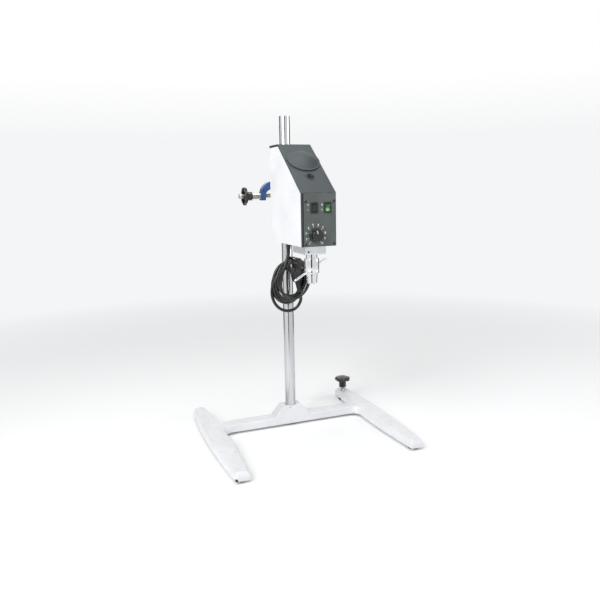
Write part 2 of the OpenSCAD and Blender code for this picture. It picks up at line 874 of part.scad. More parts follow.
module chassis() {
    color("gainsboro") at_head() difference() {
        union() {
            translate([-chassis_w / 2, chassis_front, deck_z])
                cube([chassis_w, chassis_rear - chassis_front, deck_t]);
            translate([-chassis_w / 2, chassis_front, plate_bottom_z])
                cube([chassis_w, chassis_rear - rear_r - chassis_front, floor_t]);
            translate([-chassis_w / 2, chassis_rear - 3, plate_bottom_z + rear_r])
                cube([chassis_w, 3, arm_socket_top + 6 - plate_bottom_z - rear_r]);
            difference() {
                along_x(chassis_w) polygon(head_outline(60, 0, 0, shell, shell));
                along_x(chassis_w + 2) polygon(head_outline(0, -30, -30, shell + 3, shell + 3));
                translate([-60, front_y, plate_bottom_z + rear_r]) cube([120, head_d + 5, head_h]);
                translate([-60, front_y - 5, head_bottom - 5]) cube([120, head_d - shell - rear_r, head_h]);
            }
            translate([0, spindle_y, deck_top - bearing_boss_h])
                cylinder(h = bearing_boss_h, d = bearing_boss_d, $fn = fine);
        }
        translate([0, spindle_y, high_bearing_z]) cylinder(h = 30, d = bearing_d, $fn = fine);
        translate([0, spindle_y, plate_bottom_z - 1]) cylinder(h = 120, d = bearing_d - 4, $fn = fine);
        translate([0, spindle_y, plate_bottom_z - 1])
            cylinder(h = floor_t + 2, d = bearing_d + 6, $fn = fine);
        translate([0, motor_y, deck_z - 1]) cylinder(h = deck_t + 2, d = 22, $fn = fine);
        translate([0, 0, arm_h]) rod_y_dir(chassis_rear - 10, chassis_rear + 5, arm_d + 2);
        translate([gland_x - arm_x, gland_y, plate_bottom_z - 1])
            cylinder(h = floor_t + 2, d = gland_d + 6, $fn = round_n);
        for (p = housing_screw_places) translate([p[0], 0, p[1]]) rod_y_dir(rear_y - 20, rear_y + 10, 3);
        for (sx = [-1, 1], y = [block_front + 6, block_front + 6 + block_screw_y])
            translate([sx * block_screw_x, y, plate_bottom_z - 1]) cylinder(h = 9, d = 4, $fn = 24);
    }
}

module chassis_posts() {
    low = plate_bottom_z + floor_t;
    color("silver") at_head() for (sx = [-1, 1])
        translate([sx * post_x, post_y, low]) cylinder(h = deck_z - low, d = post_d, $fn = round_n);
}

module arm_socket() {
    color("silver") at_head() difference() {
        translate([-arm_socket_w / 2, chassis_rear - 3 - arm_socket_l, deck_top])
            cube([arm_socket_w, arm_socket_l, arm_socket_top - deck_top]);
        translate([0, 0, arm_h]) rod_y_dir(arm_front - 1, chassis_rear, arm_d + 2 * run_fit);
        at_socket_screws() cylinder(h = 20, d = 5, $fn = 24);
    }
}

module at_socket_screws() {
    for (y = [10, 22]) translate([0, chassis_rear - 3 - y, arm_h + arm_d / 2 + gap]) children();
}

module socket_screws() {
    color("dimgray") at_head() at_socket_screws()
        cylinder(h = arm_socket_top - arm_h - arm_d / 2 - gap, d = 5, $fn = 24);
}

module housing_screws() {
    color("silver") at_head() for (p = housing_screw_places) translate([p[0], 0, p[1]]) {
        rod_y_dir(rear_y, rear_y + 1.8, 6);
        rod_y_dir(rear_y - 8, rear_y, 3);
    }
}

module bearing_block() {
    color("lightgray") at_head() difference() {
        translate([-block_w / 2, block_front, block_z]) cube([block_w, block_rear - block_front, block_h]);
        translate([0, spindle_y, low_bearing_z]) cylinder(h = 30, d = bearing_d, $fn = fine);
        translate([0, spindle_y, block_z - 1]) cylinder(h = 30, d = spindle_d + 4, $fn = fine);
        for (sx = [-1, 1], y = [block_front + 6, block_front + 6 + block_screw_y])
            translate([sx * block_screw_x, y, block_z - 1]) {
                cylinder(h = 40, d = 4, $fn = 24);
                cylinder(h = 5, d = 7.4, $fn = 24);
            }
        translate([-15, 0, block_z + 5]) rod_y_dir(block_front - 1, block_front + 5, 4);
    }
}

module block_screws() {
    color("dimgray") at_head() {
        for (sx = [-1, 1], y = [block_front + 6, block_front + 6 + block_screw_y])
            translate([sx * block_screw_x, y, block_z]) {
                cylinder(h = block_h + shell + floor_t + 2, d = 4, $fn = 24);
                translate([0, 0, 0.5]) cylinder(h = 3.5, d = 7, $fn = 24);
            }
        translate([-15, 0, block_z + 5]) rod_y_dir(block_front, block_front + 5, 4);
    }
}

module lower_bearing() {
    color("silver") at_spindle() translate([0, 0, low_bearing_z])
        tube(bearing_h, bearing_d, spindle_d + 2 * run_fit);
}

module upper_bearing() {
    color("silver") at_spindle() translate([0, 0, high_bearing_z])
        tube(bearing_h, bearing_d, spindle_d + 2 * run_fit);
}

module spindle() {
    color("silver") at_spindle() translate([0, 0, spindle_end])
        tube(spindle_top - spindle_end, spindle_d, bore_d);
}

module pulley(r, bore) {
    difference() {
        union() {
            cylinder(h = pulley_h, r = r - 0.4, $fn = fine);
            cylinder(h = flange_t, r = r + 1.4, $fn = fine);
            translate([0, 0, pulley_h - flange_t]) cylinder(h = flange_t, r = r + 1.4, $fn = fine);
        }
        translate([0, 0, -1]) cylinder(h = pulley_h + 2, d = bore, $fn = fine);
    }
}

module spindle_pulley() {
    color("gainsboro") at_spindle() translate([0, 0, pulley_z]) pulley(spindle_pulley_r, spindle_d);
}

module motor_pulley() {
    color("gainsboro") at_motor() translate([0, 0, pulley_z]) pulley(motor_pulley_r, motor_shaft_d);
}

// The part of the belt that lies on a pulley, its ends at the angle a from the X axis
module belt_arc(r, a, small) {
    far = small ? -4 * r : 4 * r;
    difference() {
        circle(r = r + belt_t, $fn = fine);
        circle(r = r, $fn = fine);
        polygon([
            [0, 0], [5 * r * cos(a), 5 * r * sin(a)], [5 * r, far], [-5 * r, far],
            [-5 * r * cos(a), 5 * r * sin(a)]
        ]);
    }
}

module drive_belt() {
    a = asin((spindle_pulley_r - motor_pulley_r) / drive_centres);
    color("black") at_spindle() translate([0, 0, pulley_z + flange_t + 0.5])
        linear_extrude(pulley_h - 2 * flange_t - 1) {
            belt_arc(spindle_pulley_r, a, false);
            translate([0, drive_centres]) belt_arc(motor_pulley_r, a, true);
            for (sx = [0, 1])
                mirror([sx, 0]) rotate(a) translate([spindle_pulley_r, 0])
                    square([belt_t, drive_centres * cos(a)]);
        }
}

module motor_can() {
    color("gray") at_motor() difference() {
        translate([0, 0, motor_bottom]) cylinder(h = motor_l, d = motor_d, $fn = fine);
        translate([0, 0, motor_bottom + motor_wall])
            cylinder(h = motor_l - 2 * motor_wall, d = motor_d - 2 * motor_wall, $fn = fine);
        translate([0, 0, motor_bottom - 1])
            cylinder(h = motor_l + 2, d = motor_shaft_d + 2 * run_fit, $fn = fine);
    }
}

module motor_rotor() {
    color("peru") at_motor() {
        translate([0, 0, fan_z - 1])
            cylinder(h = pulley_z + pulley_h + 2 - fan_z, d = motor_shaft_d, $fn = fine);
        translate([0, 0, motor_bottom + rotor_margin])
            cylinder(h = motor_l - 2 * rotor_margin, d = rotor_d, $fn = fine);
    }
}

module motor_fan() {
    color("dimgray") at_motor() translate([0, 0, fan_z]) difference() {
        union() {
            cylinder(h = 1.5, d = fan_d, $fn = fine);
            cylinder(h = fan_h, d = 16, $fn = round_n);
            for (i = [0:fan_blades - 1])
                rotate(360 * i / fan_blades) translate([6, -0.75, 0]) cube([fan_d / 2 - 7, 1.5, fan_h]);
        }
        translate([0, 0, -1]) cylinder(h = fan_h + 2, d = motor_shaft_d, $fn = fine);
    }
}

module circuit_board() {
    color("forestgreen") at_head() difference() {
        translate([-board_w / 2, board_front, board_z]) cube([board_w, board_rear - board_front, board_t]);
        at_board_posts() translate([0, 0, board_z - 1]) cylinder(h = 5, d = 3, $fn = 24);
    }
}

module at_board_posts() {
    for (sx = [-1, 1], y = [board_front + 5, board_rear - 5])
        translate([sx * (board_w / 2 - 4), y, 0]) children();
}

module board_posts() {
    color("silver") at_head() at_board_posts() {
        translate([0, 0, deck_top]) cylinder(h = board_z - deck_top, d = board_post_d, $fn = 24);
        translate([0, 0, board_z]) cylinder(h = board_t + 1, d = 3, $fn = 24);
        translate([0, 0, board_z + board_t]) cylinder(h = 2, d = 5.5, $fn = 24);
    }
}

module board_parts() {
    top = board_z + board_t;
    y0 = board_front + 10;
    color("midnightblue") at_head() {
        translate([-12, y0 + 12, top]) cylinder(h = 26, d = 18, $fn = round_n);
        translate([2, y0 + 4, top]) cube([18, 22, 20]);
        translate([-18, y0 + 30, top]) cube([34, 8, 11]);
    }
}

// ---- Chuck and key ----

module jaw_axis(i, extra) {
    rotate(jaw_first + 120 * i) translate([jaw_tip_r, 0, jaw_tip_z])
        rotate([0, jaw_angle, 0]) translate([0, 0, -extra]) children();
}

module chuck_body() {
    color("silver") at_spindle() difference() {
        union() {
            translate([0, 0, nose_z]) cylinder(h = nose_l, d1 = nose_tip_d, d2 = nose_d, $fn = fine);
            translate([0, 0, sleeve_z]) cylinder(h = sleeve_l, d = chuck_core_d, $fn = fine);
            translate([0, 0, sleeve_top]) cylinder(h = collar_l, d = collar_d, $fn = fine);
        }
        translate([0, 0, nose_z - 1]) cylinder(h = 80, d = chuck_bore_d, $fn = fine);
        translate([0, 0, spindle_end]) cylinder(h = 80, d = spindle_d, $fn = fine);
        for (i = [0:2]) {
            jaw_axis(i, 6) cylinder(h = jaw_l + 6.5, r = jaw_d / 2 + run_fit, $fn = round_n);
            rotate(key_turn + 120 * i) translate([nose_d / 2 - key_hole_deep, 0, key_z])
                rotate([0, 90, 0]) cylinder(h = 20, d = key_hole_d, $fn = 24);
        }
    }
}

module chuck_sleeve() {
    color("silver") at_spindle() translate([0, 0, sleeve_z + gap])
        tube(sleeve_l - gap, sleeve_d, sleeve_d - 2 * sleeve_wall);
}

module jaw(i) {
    color("gray") at_spindle() difference() {
        intersection() {
            jaw_axis(i, 0) cylinder(h = jaw_l, d = jaw_d, $fn = round_n);
            rotate(jaw_first + 120 * i) translate([0, 0, jaw_tip_z]) linear_extrude(60) polygon([
                [grip_d / 2 - 1, -jaw_nose_w / 2], [grip_d / 2, -jaw_nose_w / 2],
                [grip_d / 2 + 3, -jaw_nose_w / 2 - 3 * tan(jaw_flare)],
                [grip_d / 2 + 20, -jaw_nose_w / 2 - 3 * tan(jaw_flare)],
                [grip_d / 2 + 20, jaw_nose_w / 2 + 3 * tan(jaw_flare)],
                [grip_d / 2 + 3, jaw_nose_w / 2 + 3 * tan(jaw_flare)],
                [grip_d / 2, jaw_nose_w / 2], [grip_d / 2 - 1, jaw_nose_w / 2]
            ]);
        }
        translate([0, 0, jaw_tip_z - 1]) cylinder(h = 60, d = grip_d, $fn = fine);
    }
}

module chuck_jaw_a() {
    jaw(0);
}

module chuck_jaw_b() {
    jaw(1);
}

module chuck_jaw_c() {
    jaw(2);
}

module at_key() {
    at_spindle() rotate(key_turn) translate([0, 0, key_z]) children();
}

module key_shank() {
    pilot = nose_d / 2 - key_hole_deep + gap;
    root = nose_d / 2 + 1;
    color("silver") at_key() difference() {
        union() {
            rod_x(pilot, root + 1, key_hole_d - 0.2);
            translate([root, 0, 0]) rotate([0, 90, 0])
                cylinder(h = 6, d1 = key_pinion_d - 2, d2 = key_pinion_d, $fn = round_n);
            rod_x(root + 6, key_reach + 5, key_d);
        }
        translate([key_reach, 0, 0]) rotate([-key_bar_tilt, 0, 0])
            rod_y_dir(-20, 20, key_bar_d + 2 * run_fit);
    }
}

module key_bar() {
    color("silver") at_key() translate([key_reach, 0, 0]) rotate([180 - key_bar_tilt, 0, 0])
        translate([0, key_bar_shift, 0]) rod_y_dir(-key_bar_l / 2, key_bar_l / 2, key_bar_d);
}

// ---- Mains cord ----

module cord_gland() {
    color("black") at_rod() translate([gland_x, gland_y, 0]) difference() {
        union() {
            translate([0, 0, gland_tip + 4])
                cylinder(h = head_bottom - gland_tip - 4, d = gland_d, $fn = round_n);
            translate([0, 0, gland_tip]) cylinder(h = 4, d1 = cord_d + 3, d2 = gland_d, $fn = round_n);
            translate([0, 0, head_bottom]) cylinder(h = shell, d = gland_d - 3, $fn = round_n);
            translate([0, 0, head_bottom + shell]) cylinder(h = 4, d = gland_d + 4, $fn = 6);
        }
        translate([0, 0, gland_tip - 1]) cylinder(h = 9, d = cord_d, $fn = round_n);
    }
}

function unit(v) = v / norm(v);
function lead_dir(i) = unit(lead_points[min(i + 1, len(lead_points) - 1)] - lead_points[max(i - 1, 0)]);
function lead_side(i) = unit(cross(lead_dir(i), [0, 1, 0]));
function lead_ring(i) = [
    for (k = [0:lead_sides - 1])
        let (a = 360 * k / lead_sides, s = lead_side(i), t = cross(lead_dir(i), s))
        lead_points[i] + cord_d / 2 * (s * cos(a) + t * sin(a))
];

module cord_lead() {
    n = len(lead_points);
    m = lead_sides;
    color("black") at_rod() polyhedron(
        points = [for (i = [0:n - 1]) each lead_ring(i)],
        faces = concat(
            [[for (k = [0:m - 1]) k]],
            [
                for (i = [0:n - 2], k = [0:m - 1])
                    [i * m + k, (i + 1) * m + k, (i + 1) * m + (k + 1) % m, i * m + (k + 1) % m]
            ],
            [[for (k = [m - 1:-1:0]) (n - 1) * m + k]]
        )
    );
}

module stadium(r, straight) {
    translate([0, straight]) circle(r = r, $fn = fine);
    translate([0, -straight]) circle(r = r, $fn = fine);
    translate([-r, -straight]) square([2 * r, 2 * straight]);
}

module at_coil() {
    at_rod() translate([coil_x, coil_y, coil_z]) rotate([90, coil_tilt, 0]) children();
}

module at_plug() {
    axis = plug_back - plug_face;
    at_rod() translate(plug_face)
        rotate([0, acos(axis[2] / norm(axis)), atan2(axis[1], axis[0])]) children();
}

// The turns make room for the plug, which lies half sunk in them
module cord_coil() {
    room_d = 2 * plug_pin_side + plug_pin_d + 2 * gap;
    color("black") difference() {
        at_coil() translate([0, 0, -bundle_t / 2]) linear_extrude(bundle_t) difference() {
            stadium(coil_half_w, coil_straight);
            stadium(coil_half_w - bundle_w, coil_straight);
        }
        at_plug() {
            translate([0, 0, -plug_pin_l - gap]) cylinder(h = plug_pin_l + plug_l + 1 + gap, d = room_d, $fn = fine);
            translate([0, 0, -gap]) cylinder(h = plug_head_l + gap, d = plug_d + 2 * gap, $fn = fine);
        }
    }
}

// A strap round the turns at the top of the coil
module cord_tie() {
    color("black") at_coil() translate([0, coil_straight, 0]) rotate(tie_side)
        translate([0, coil_half_w - bundle_w / 2, 0]) difference() {
            cube([tie_w, bundle_w + 2 * tie_t, bundle_t + 2 * tie_t], center = true);
            cube([tie_w + 2, bundle_w, bundle_t], center = true);
        }
}

module mains_plug() {
    length = norm(plug_back - plug_face);
    color("black") at_plug() {
        rotate_extrude($fn = round_n) polygon([
            [0, 0], [plug_d / 2, 0], [plug_d / 2, 6], [plug_grip_d / 2, plug_head_l],
            [plug_grip_d / 2, plug_l - 4], [plug_grip_d / 2 - 4, plug_l],
            [cord_d / 2 + 2, plug_l + 1], [cord_d / 2 + 1, length], [0, length]
        ]);
        for (sx = [-1, 1]) translate([sx * plug_pin_side, 0, -plug_pin_l])
            cylinder(h = plug_pin_l, d = plug_pin_d, $fn = 24);
    }
}

base_casting();
rubber_feet();
levelling_foot();
levelling_screw();
levelling_knob();
stand_rod();
rod_screw();
rod_washer();
boss_head();
rod_clamp_screw();
rod_clamp_knob();
arm_clamp_screw();
arm_clamp_knob();
support_arm();
lower_housing();
upper_housing();
front_cover();
shaft_port();
control_plate();
plate_screws();
range_switch();
range_rocker();
power_switch();
power_rocker();
speed_knob();
speed_shaft();
speed_potentiometer();
chassis();
chassis_posts();
arm_socket();
socket_screws();
housing_screws();
bearing_block();
block_screws();
lower_bearing();
upper_bearing();
spindle();
spindle_pulley();
drive_belt();
motor_can();
motor_rotor();
motor_fan();
motor_pulley();
circuit_board();
board_posts();
board_parts();
chuck_body();
chuck_sleeve();
chuck_jaw_a();
chuck_jaw_b();
chuck_jaw_c();
key_shank();
key_bar();
cord_gland();
cord_lead();
cord_coil();
cord_tie();
mains_plug();
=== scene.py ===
import json
import math

import bmesh
import bpy
import numpy as np
from mathutils import Matrix, Vector


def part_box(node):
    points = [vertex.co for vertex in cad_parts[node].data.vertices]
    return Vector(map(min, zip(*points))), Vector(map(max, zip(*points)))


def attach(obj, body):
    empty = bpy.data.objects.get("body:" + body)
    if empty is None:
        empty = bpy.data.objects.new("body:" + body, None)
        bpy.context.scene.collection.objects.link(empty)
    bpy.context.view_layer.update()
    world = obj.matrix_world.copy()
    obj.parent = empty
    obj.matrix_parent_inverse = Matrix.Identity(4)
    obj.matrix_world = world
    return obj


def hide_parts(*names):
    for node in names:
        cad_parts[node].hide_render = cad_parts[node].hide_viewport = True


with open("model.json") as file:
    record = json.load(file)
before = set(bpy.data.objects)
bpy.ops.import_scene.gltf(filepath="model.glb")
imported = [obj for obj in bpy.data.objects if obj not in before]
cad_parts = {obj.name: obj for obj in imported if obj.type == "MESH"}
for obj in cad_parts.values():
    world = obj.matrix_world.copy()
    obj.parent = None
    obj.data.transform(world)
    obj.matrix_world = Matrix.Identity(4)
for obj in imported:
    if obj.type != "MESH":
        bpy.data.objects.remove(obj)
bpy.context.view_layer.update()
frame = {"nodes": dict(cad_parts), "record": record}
MM = 0.001
ROD_Y = 63.0  # the stand rod's axis, in millimetres; the pieces are laid out from it
HEAD_X = -22.5  # the middle of the motor head and its spindle, measured across from the rod


# ---- Camera and lamps ----


def set_camera():
    """A camera to the front left of the stand that looks a little down on it."""
    yaw, pitch, roll = math.radians(21.07), math.radians(10.25), -0.018
    place = (-0.4944, -1.2982, 0.5685)
    sensor, focal_pixels, picture_pixels = 36, 620, 600
    ahead = Vector(
        (math.sin(yaw) * math.cos(pitch), math.cos(yaw) * math.cos(pitch), -math.sin(pitch))
    )
    right = Vector((math.cos(yaw), -math.sin(yaw), 0))
    up = right.cross(ahead)
    across = math.cos(roll) * right + math.sin(roll) * up
    above = -math.sin(roll) * right + math.cos(roll) * up
    data = bpy.data.cameras.new("camera")
    data.sensor_width = sensor
    data.lens = sensor * focal_pixels / picture_pixels
    camera = bpy.data.objects.new("camera", data)
    bpy.context.scene.collection.objects.link(camera)
    turned = Matrix((across, above, -ahead)).transposed().to_4x4()
    camera.matrix_world = Matrix.Translation(place) @ turned
    bpy.context.scene.camera = camera


def add_lamp(name, place, target, size, power):
    data = bpy.data.lights.new(name, "AREA")
    data.shape = "RECTANGLE"
    data.size, data.size_y = size
    data.energy = power
    lamp = bpy.data.objects.new(name, data)
    bpy.context.scene.collection.objects.link(lamp)
    lamp.location = place
    lamp.rotation_euler = (Vector(target) - Vector(place)).to_track_quat("-Z", "Y").to_euler()
    lamp.visible_camera = False


set_camera()

# ---- The mains cord ----

CORD_D = 7.0
CORD_STEP = 5.0  # from one point of the cord's line to the next
TOUCH = CORD_D + 0.15  # stretches of the cord nearer than this push each other
SWEEPS, GENTLE_FROM = 900, 700
OPENED_BELOW = 30.0  # bends of a smaller radius are opened
TURNS, TURN_POINTS = 6, 48
COIL_MIDDLE = np.array([-18.0, -62.0, 358.0])
COIL_TILT = math.radians(18)
COIL_U = np.array([math.cos(COIL_TILT), 0, -math.sin(COIL_TILT)])
COIL_W = np.array([math.sin(COIL_TILT), 0, math.cos(COIL_TILT)])
COIL_N = np.array([0, -1.0, 0])
COIL_REACH, COIL_LOW, COIL_HIGH = 34.5, -24, 20  # two round ends and straight sides
LEAD = [
    (-30, -92, 446), (-30, -92, 437), (-30, -91.5, 430), (-30, -90, 423), (-30, -87.5, 416),
    (-30.5, -84.5, 409.5),
]
PLUG_FACE = np.array([-13.0, -80, 398])
PLUG_BACK = np.array([2.0, -71, 338.5])
# the plug's radius, at shares of its length from the face to the back
PLUG_SHARES, PLUG_RADII = [0, 0.08, 0.24, 0.5, 0.56, 1], [17, 17, 12.5, 12.5, 8, 5]


def to_coil(points):
    away = np.asarray(points, float) - COIL_MIDDLE
    return np.stack([away @ COIL_U, away @ COIL_W, away @ COIL_N], 1)


def from_coil(points):
    p = np.asarray(points, float)
    return COIL_MIDDLE + p[:, :1] * COIL_U + p[:, 1:2] * COIL_W + p[:, 2:] * COIL_N


def spaced(points, step):
    """The same line with its points a step apart."""
    p = np.asarray(points, float)
    along = np.concatenate([[0], np.cumsum(np.linalg.norm(np.diff(p, axis=0), axis=1))])
    wanted = np.linspace(0, along[-1], max(2, round(along[-1] / step) + 1))
    return np.stack([np.interp(wanted, along, p[:, k]) for k in range(3)], 1)


def wound_turns():
    """A first guess at the turns, as (across, up, out) of the coil, from the lead to the plug."""
    # one row a turn: middle across, middle up, bend radius, half straight, depth
    rows = np.array([
        [0, -1, 30.5, 15, 13],
        [-2, 3, 30, 16, 9],
        [2, -1, 31.5, 20, 4],
        [-4, -2, 30, 19, -2],
        [3, 4, 29.5, 17, -7],
        [1, -4, 32, 21, -12],
        [3, -3, 31, 19, -3],
        [0, -2, 31, 16, 6],
    ], float)
    over_plug = 20  # how far out the early turns pass over the plug, at their top
    line = []
    start = math.radians(178)
    for i in range(TURNS * TURN_POINTS + 1):
        t = i / TURN_POINTS
        a = start + 2 * math.pi * t
        low = min(int(t), len(rows) - 2)
        f = t - low
        cu, cw, r, s, n = rows[low] * (1 - f) + rows[low + 1] * f
        if 0.6 < t < 2.4:
            n += over_plug * max(0.0, math.sin(a)) ** 3
        line.append([cu + r * math.cos(a), cw + r * math.sin(a) + s * math.sin(a), n])
    # the last half turn runs round the bottom and up the right side into the plug's back
    bend, run, half = 31, 8, TURN_POINTS // 2
    back, down = to_coil([PLUG_BACK])[0], to_coil([2 * PLUG_BACK - PLUG_FACE])[0]
    down = (down - back) / np.linalg.norm(down - back)
    end = math.atan2(down[0], -down[1])
    middle = back[:2] + down[:2] * run - bend * np.array([math.cos(end), math.sin(end)])
    last_depth = line[-1][2]
    for i in range(half + 1):
        a = math.pi + (end + math.pi) * i / half
        depth = last_depth * (1 - i / half) + (back[2] + down[2] * run) * i / half
        line.append([middle[0] + bend * math.cos(a), middle[1] + bend * math.sin(a), depth])
    return np.array(line)


def settle_cord():
    """Winds the cord, then lets its turns push each other and the plug aside until they clear."""
    axis = (PLUG_BACK - PLUG_FACE) / np.linalg.norm(PLUG_BACK - PLUG_FACE)
    tail = np.array([PLUG_BACK + axis * CORD_STEP * k for k in (1, 0, -1, -2)])
    lead = to_coil(LEAD)
    line = spaced(np.concatenate([lead, wound_turns()[3:], to_coil(tail)]), CORD_STEP)
    lead_points = int(round(np.linalg.norm(np.diff(lead, axis=0), axis=1).sum() / CORD_STEP)) + 1
    n = len(line)
    order = np.arange(n)
    pinned = (order < 4) | (order >= n - 4)
    held = line[pinned].copy()
    free = (order > lead_points + 8) & (order < n - 25)
    outside_plug = order < n - 12
    i, j = np.triu_indices(n, 7)
    plug_a, plug_b = to_coil([PLUG_FACE, PLUG_BACK])
    plug_ab = plug_b - plug_a
    for sweep in range(SWEEPS):
        push = np.zeros_like(line)
        gap = line[i] - line[j]
        d = np.linalg.norm(gap, axis=1)
        near = d < TOUCH
        g = gap[near] / np.maximum(d[near], 1e-6)[:, None]
        g[d[near] < 0.5] = (0, 0, 1)
        shove = (0.3 if sweep < GENTLE_FROM else 0.12) * (TOUCH - d[near])[:, None] * g
        np.add.at(push, i[near], shove)
        np.add.at(push, j[near], -shove)
        # the plug
        t = np.clip((line - plug_a) @ plug_ab / (plug_ab @ plug_ab), 0, 1)
        off = line - (plug_a + t[:, None] * plug_ab)
        room = np.interp(t, PLUG_SHARES, PLUG_RADII) + CORD_D / 2
        far = np.linalg.norm(off, axis=1)
        inside = (far < room) & outside_plug
        push[inside] += 0.5 * ((room - far) / np.maximum(far, 1e-6))[inside][:, None] * off[inside]
        line += push
        # stiffness: a bend spreads along the cord, and a tight one opens
        for reach, share in ((1, 0.06), (2, 0.05), (4, 0.03)):
            a, b, c, d2, e = (line[k * reach : n - (4 - k) * reach] for k in range(5))
            line[2 * reach : n - 2 * reach] -= share * (a - 4 * b + 6 * c - 4 * d2 + e)
        for reach in (2, 4):
            mid = 0.5 * (line[: -2 * reach] + line[2 * reach :])
            bow = line[reach:-reach] - mid
            size = np.linalg.norm(bow, axis=1)
            most = (reach * CORD_STEP) ** 2 / (2 * OPENED_BELOW)
            over = np.maximum(0, 1 - most / np.maximum(size, 1e-9))
            line[reach:-reach] -= 0.25 * over[:, None] * bow
        # even spacing
        for _ in range(5):
            seg = line[1:] - line[:-1]
            length = np.linalg.norm(seg, axis=1)
            fix = 0.5 * ((length - CORD_STEP) / length)[:, None] * seg * 0.9
            line[:-1] += fix
            line[1:] -= fix
        # the outline of the whole coil
        u, w = line[:, 0], line[:, 1]
        wc = np.clip(w, COIL_LOW, COIL_HIGH)
        r = np.hypot(u, w - wc)
        out = (r > COIL_REACH) & free
        inward = COIL_REACH / r[out]
        line[out, 0] *= inward
        line[out, 1] = wc[out] + (w - wc)[out] * inward
        line[free, 2] = np.clip(line[free, 2], -15, 34)
        line[pinned] = held
    return from_coil(line)


cord_line = settle_cord()

# ---- Making pieces ----


def at(x, y, z):
    """A place given in millimetres from the foot of the stand rod."""
    return Vector((x, y + ROD_Y, z)) * MM


def clear_selection():
    if bpy.context.object and bpy.context.object.mode != "OBJECT":
        bpy.ops.object.mode_set(mode="OBJECT")
    bpy.ops.object.select_all(action="DESELECT")


def choose(*pieces):
    clear_selection()
    for piece in pieces:
        piece.select_set(True)
    bpy.context.view_layer.objects.active = pieces[0]


def edit(piece):
    choose(piece)
    bpy.ops.object.mode_set(mode="EDIT")


def end_edit():
    bpy.ops.object.mode_set(mode="OBJECT")


def pick(piece, kind, wanted):
    """In edit mode, selects the vertices, edges or faces that are wanted and nothing else."""
    bpy.ops.mesh.select_mode(type=kind)
    bpy.ops.mesh.select_all(action="DESELECT")
    mesh = bmesh.from_edit_mesh(piece.data)
    for part in {"VERT": mesh.verts, "EDGE": mesh.edges, "FACE": mesh.faces}[kind]:
        if wanted(part):
            part.select_set(True)
    bmesh.update_edit_mesh(piece.data)


def fixed(piece):
    """Writes a piece's place, turn and scale into its mesh."""
    choose(piece)
    bpy.ops.object.transform_apply(location=True, rotation=True, scale=True)
    return piece


def modified(piece, kind, **settings):
    """Adds a modifier with these settings and applies it."""
    choose(piece)
    modifier = piece.modifiers.new(kind.lower(), kind)
    for key, value in settings.items():
        setattr(modifier, key, value)
    bpy.ops.object.modifier_apply(modifier=modifier.name)
    return piece


def plane(name, size):
    clear_selection()
    bpy.ops.mesh.primitive_plane_add(size=size)
    piece = bpy.context.object
    piece.name = name
    return piece


def grown(name, section, sides=64, ring=False):
    """Draws half a section as (radius, height) in millimetres and spins it round the Z axis."""
    piece = plane(name, 0.01)
    edit(piece)
    bpy.ops.mesh.select_mode(type="VERT")
    bpy.ops.mesh.select_all(action="SELECT")
    bpy.ops.mesh.merge(type="CENTER")
    r, z = section[0]
    bpy.ops.transform.translate(value=(r * MM, 0, z * MM))
    for r2, z2 in section[1:]:
        bpy.ops.mesh.extrude_region_move(
            TRANSFORM_OT_translate={"value": ((r2 - r) * MM, 0, (z2 - z) * MM)}
        )
        r, z = r2, z2
    if ring:
        ends = [Vector((section[0][0], 0, section[0][1])) * MM, Vector((r, 0, z)) * MM]
        pick(piece, "VERT", lambda v: min((v.co - end).length for end in ends) < 1e-7)
        bpy.ops.mesh.edge_face_add()
    bpy.ops.mesh.select_all(action="SELECT")
    bpy.ops.mesh.spin(steps=sides, angle=2 * math.pi, center=(0, 0, 0), axis=(0, 0, 1))
    bpy.ops.mesh.select_all(action="SELECT")
    bpy.ops.mesh.remove_doubles(threshold=1e-6)
    bpy.ops.mesh.normals_make_consistent(inside=False)
    end_edit()
    return piece


def soften(piece, width, steps=2):
    """Rounds the sharp edges by that width in millimetres."""
    return modified(piece, "BEVEL", width=width * MM, segments=steps, limit_method="ANGLE",
                    angle_limit=math.radians(30), use_clamp_overlap=True)


def smooth(piece, angle=32):
    choose(piece)
    bpy.ops.object.shade_smooth_by_angle(angle=math.radians(angle))
    return piece


def turn_and_place(piece, place, toward=(0, 0, 1), roll=0.0):
    """Stands the piece's own Z axis along a direction, at a place in metres, and fixes it there."""
    turned = Vector(toward).normalized().to_track_quat("Z", "X").to_matrix().to_4x4()
    piece.matrix_world = Matrix.Translation(place) @ turned @ Matrix.Rotation(roll, 4, "Z")
    return fixed(piece)


def another(piece, name):
    copy = piece.copy()
    copy.data = piece.data.copy()
    copy.name = name
    bpy.context.scene.collection.objects.link(copy)
    return copy


def joined(name, *pieces):
    choose(*pieces)
    bpy.ops.object.join()
    piece = bpy.context.object
    piece.name = name
    return piece


def fit(piece, name, material, slot, body, *nodes):
    """Gives a finished piece its finish, and lets it ride on its body in place of its nodes."""
    piece.name = name
    piece.data.name = name
    piece.data.materials.clear()
    piece.data.materials.append(material)
    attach(piece, body)
    if nodes:
        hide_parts(*nodes)
    return piece


def finished(piece, slot, body, node):
    """Fits a piece that stands in for one node, in its slot's own finish."""
    return fit(piece, node + "_finished", FINISHES[slot], slot, body, node)


def merged_copy(node):
    """A copy of a node with its doubled points merged, left open in edit mode."""
    piece = bpy.data.objects.new(node + "_finished", frame["nodes"][node].data.copy())
    bpy.context.scene.collection.objects.link(piece)
    edit(piece)
    bpy.ops.mesh.select_all(action="SELECT")
    bpy.ops.mesh.remove_doubles(threshold=2e-6)
    return piece


def cast(node, cell, passes):
    """A copy of a node as a casting: an even skin, its edges and inner corners worn round."""
    piece = merged_copy(node)
    end_edit()
    modified(piece, "REMESH", mode="VOXEL", voxel_size=cell * MM)
    modified(piece, "SMOOTH", factor=0.5, iterations=passes)
    bpy.ops.object.shade_smooth()
    return piece


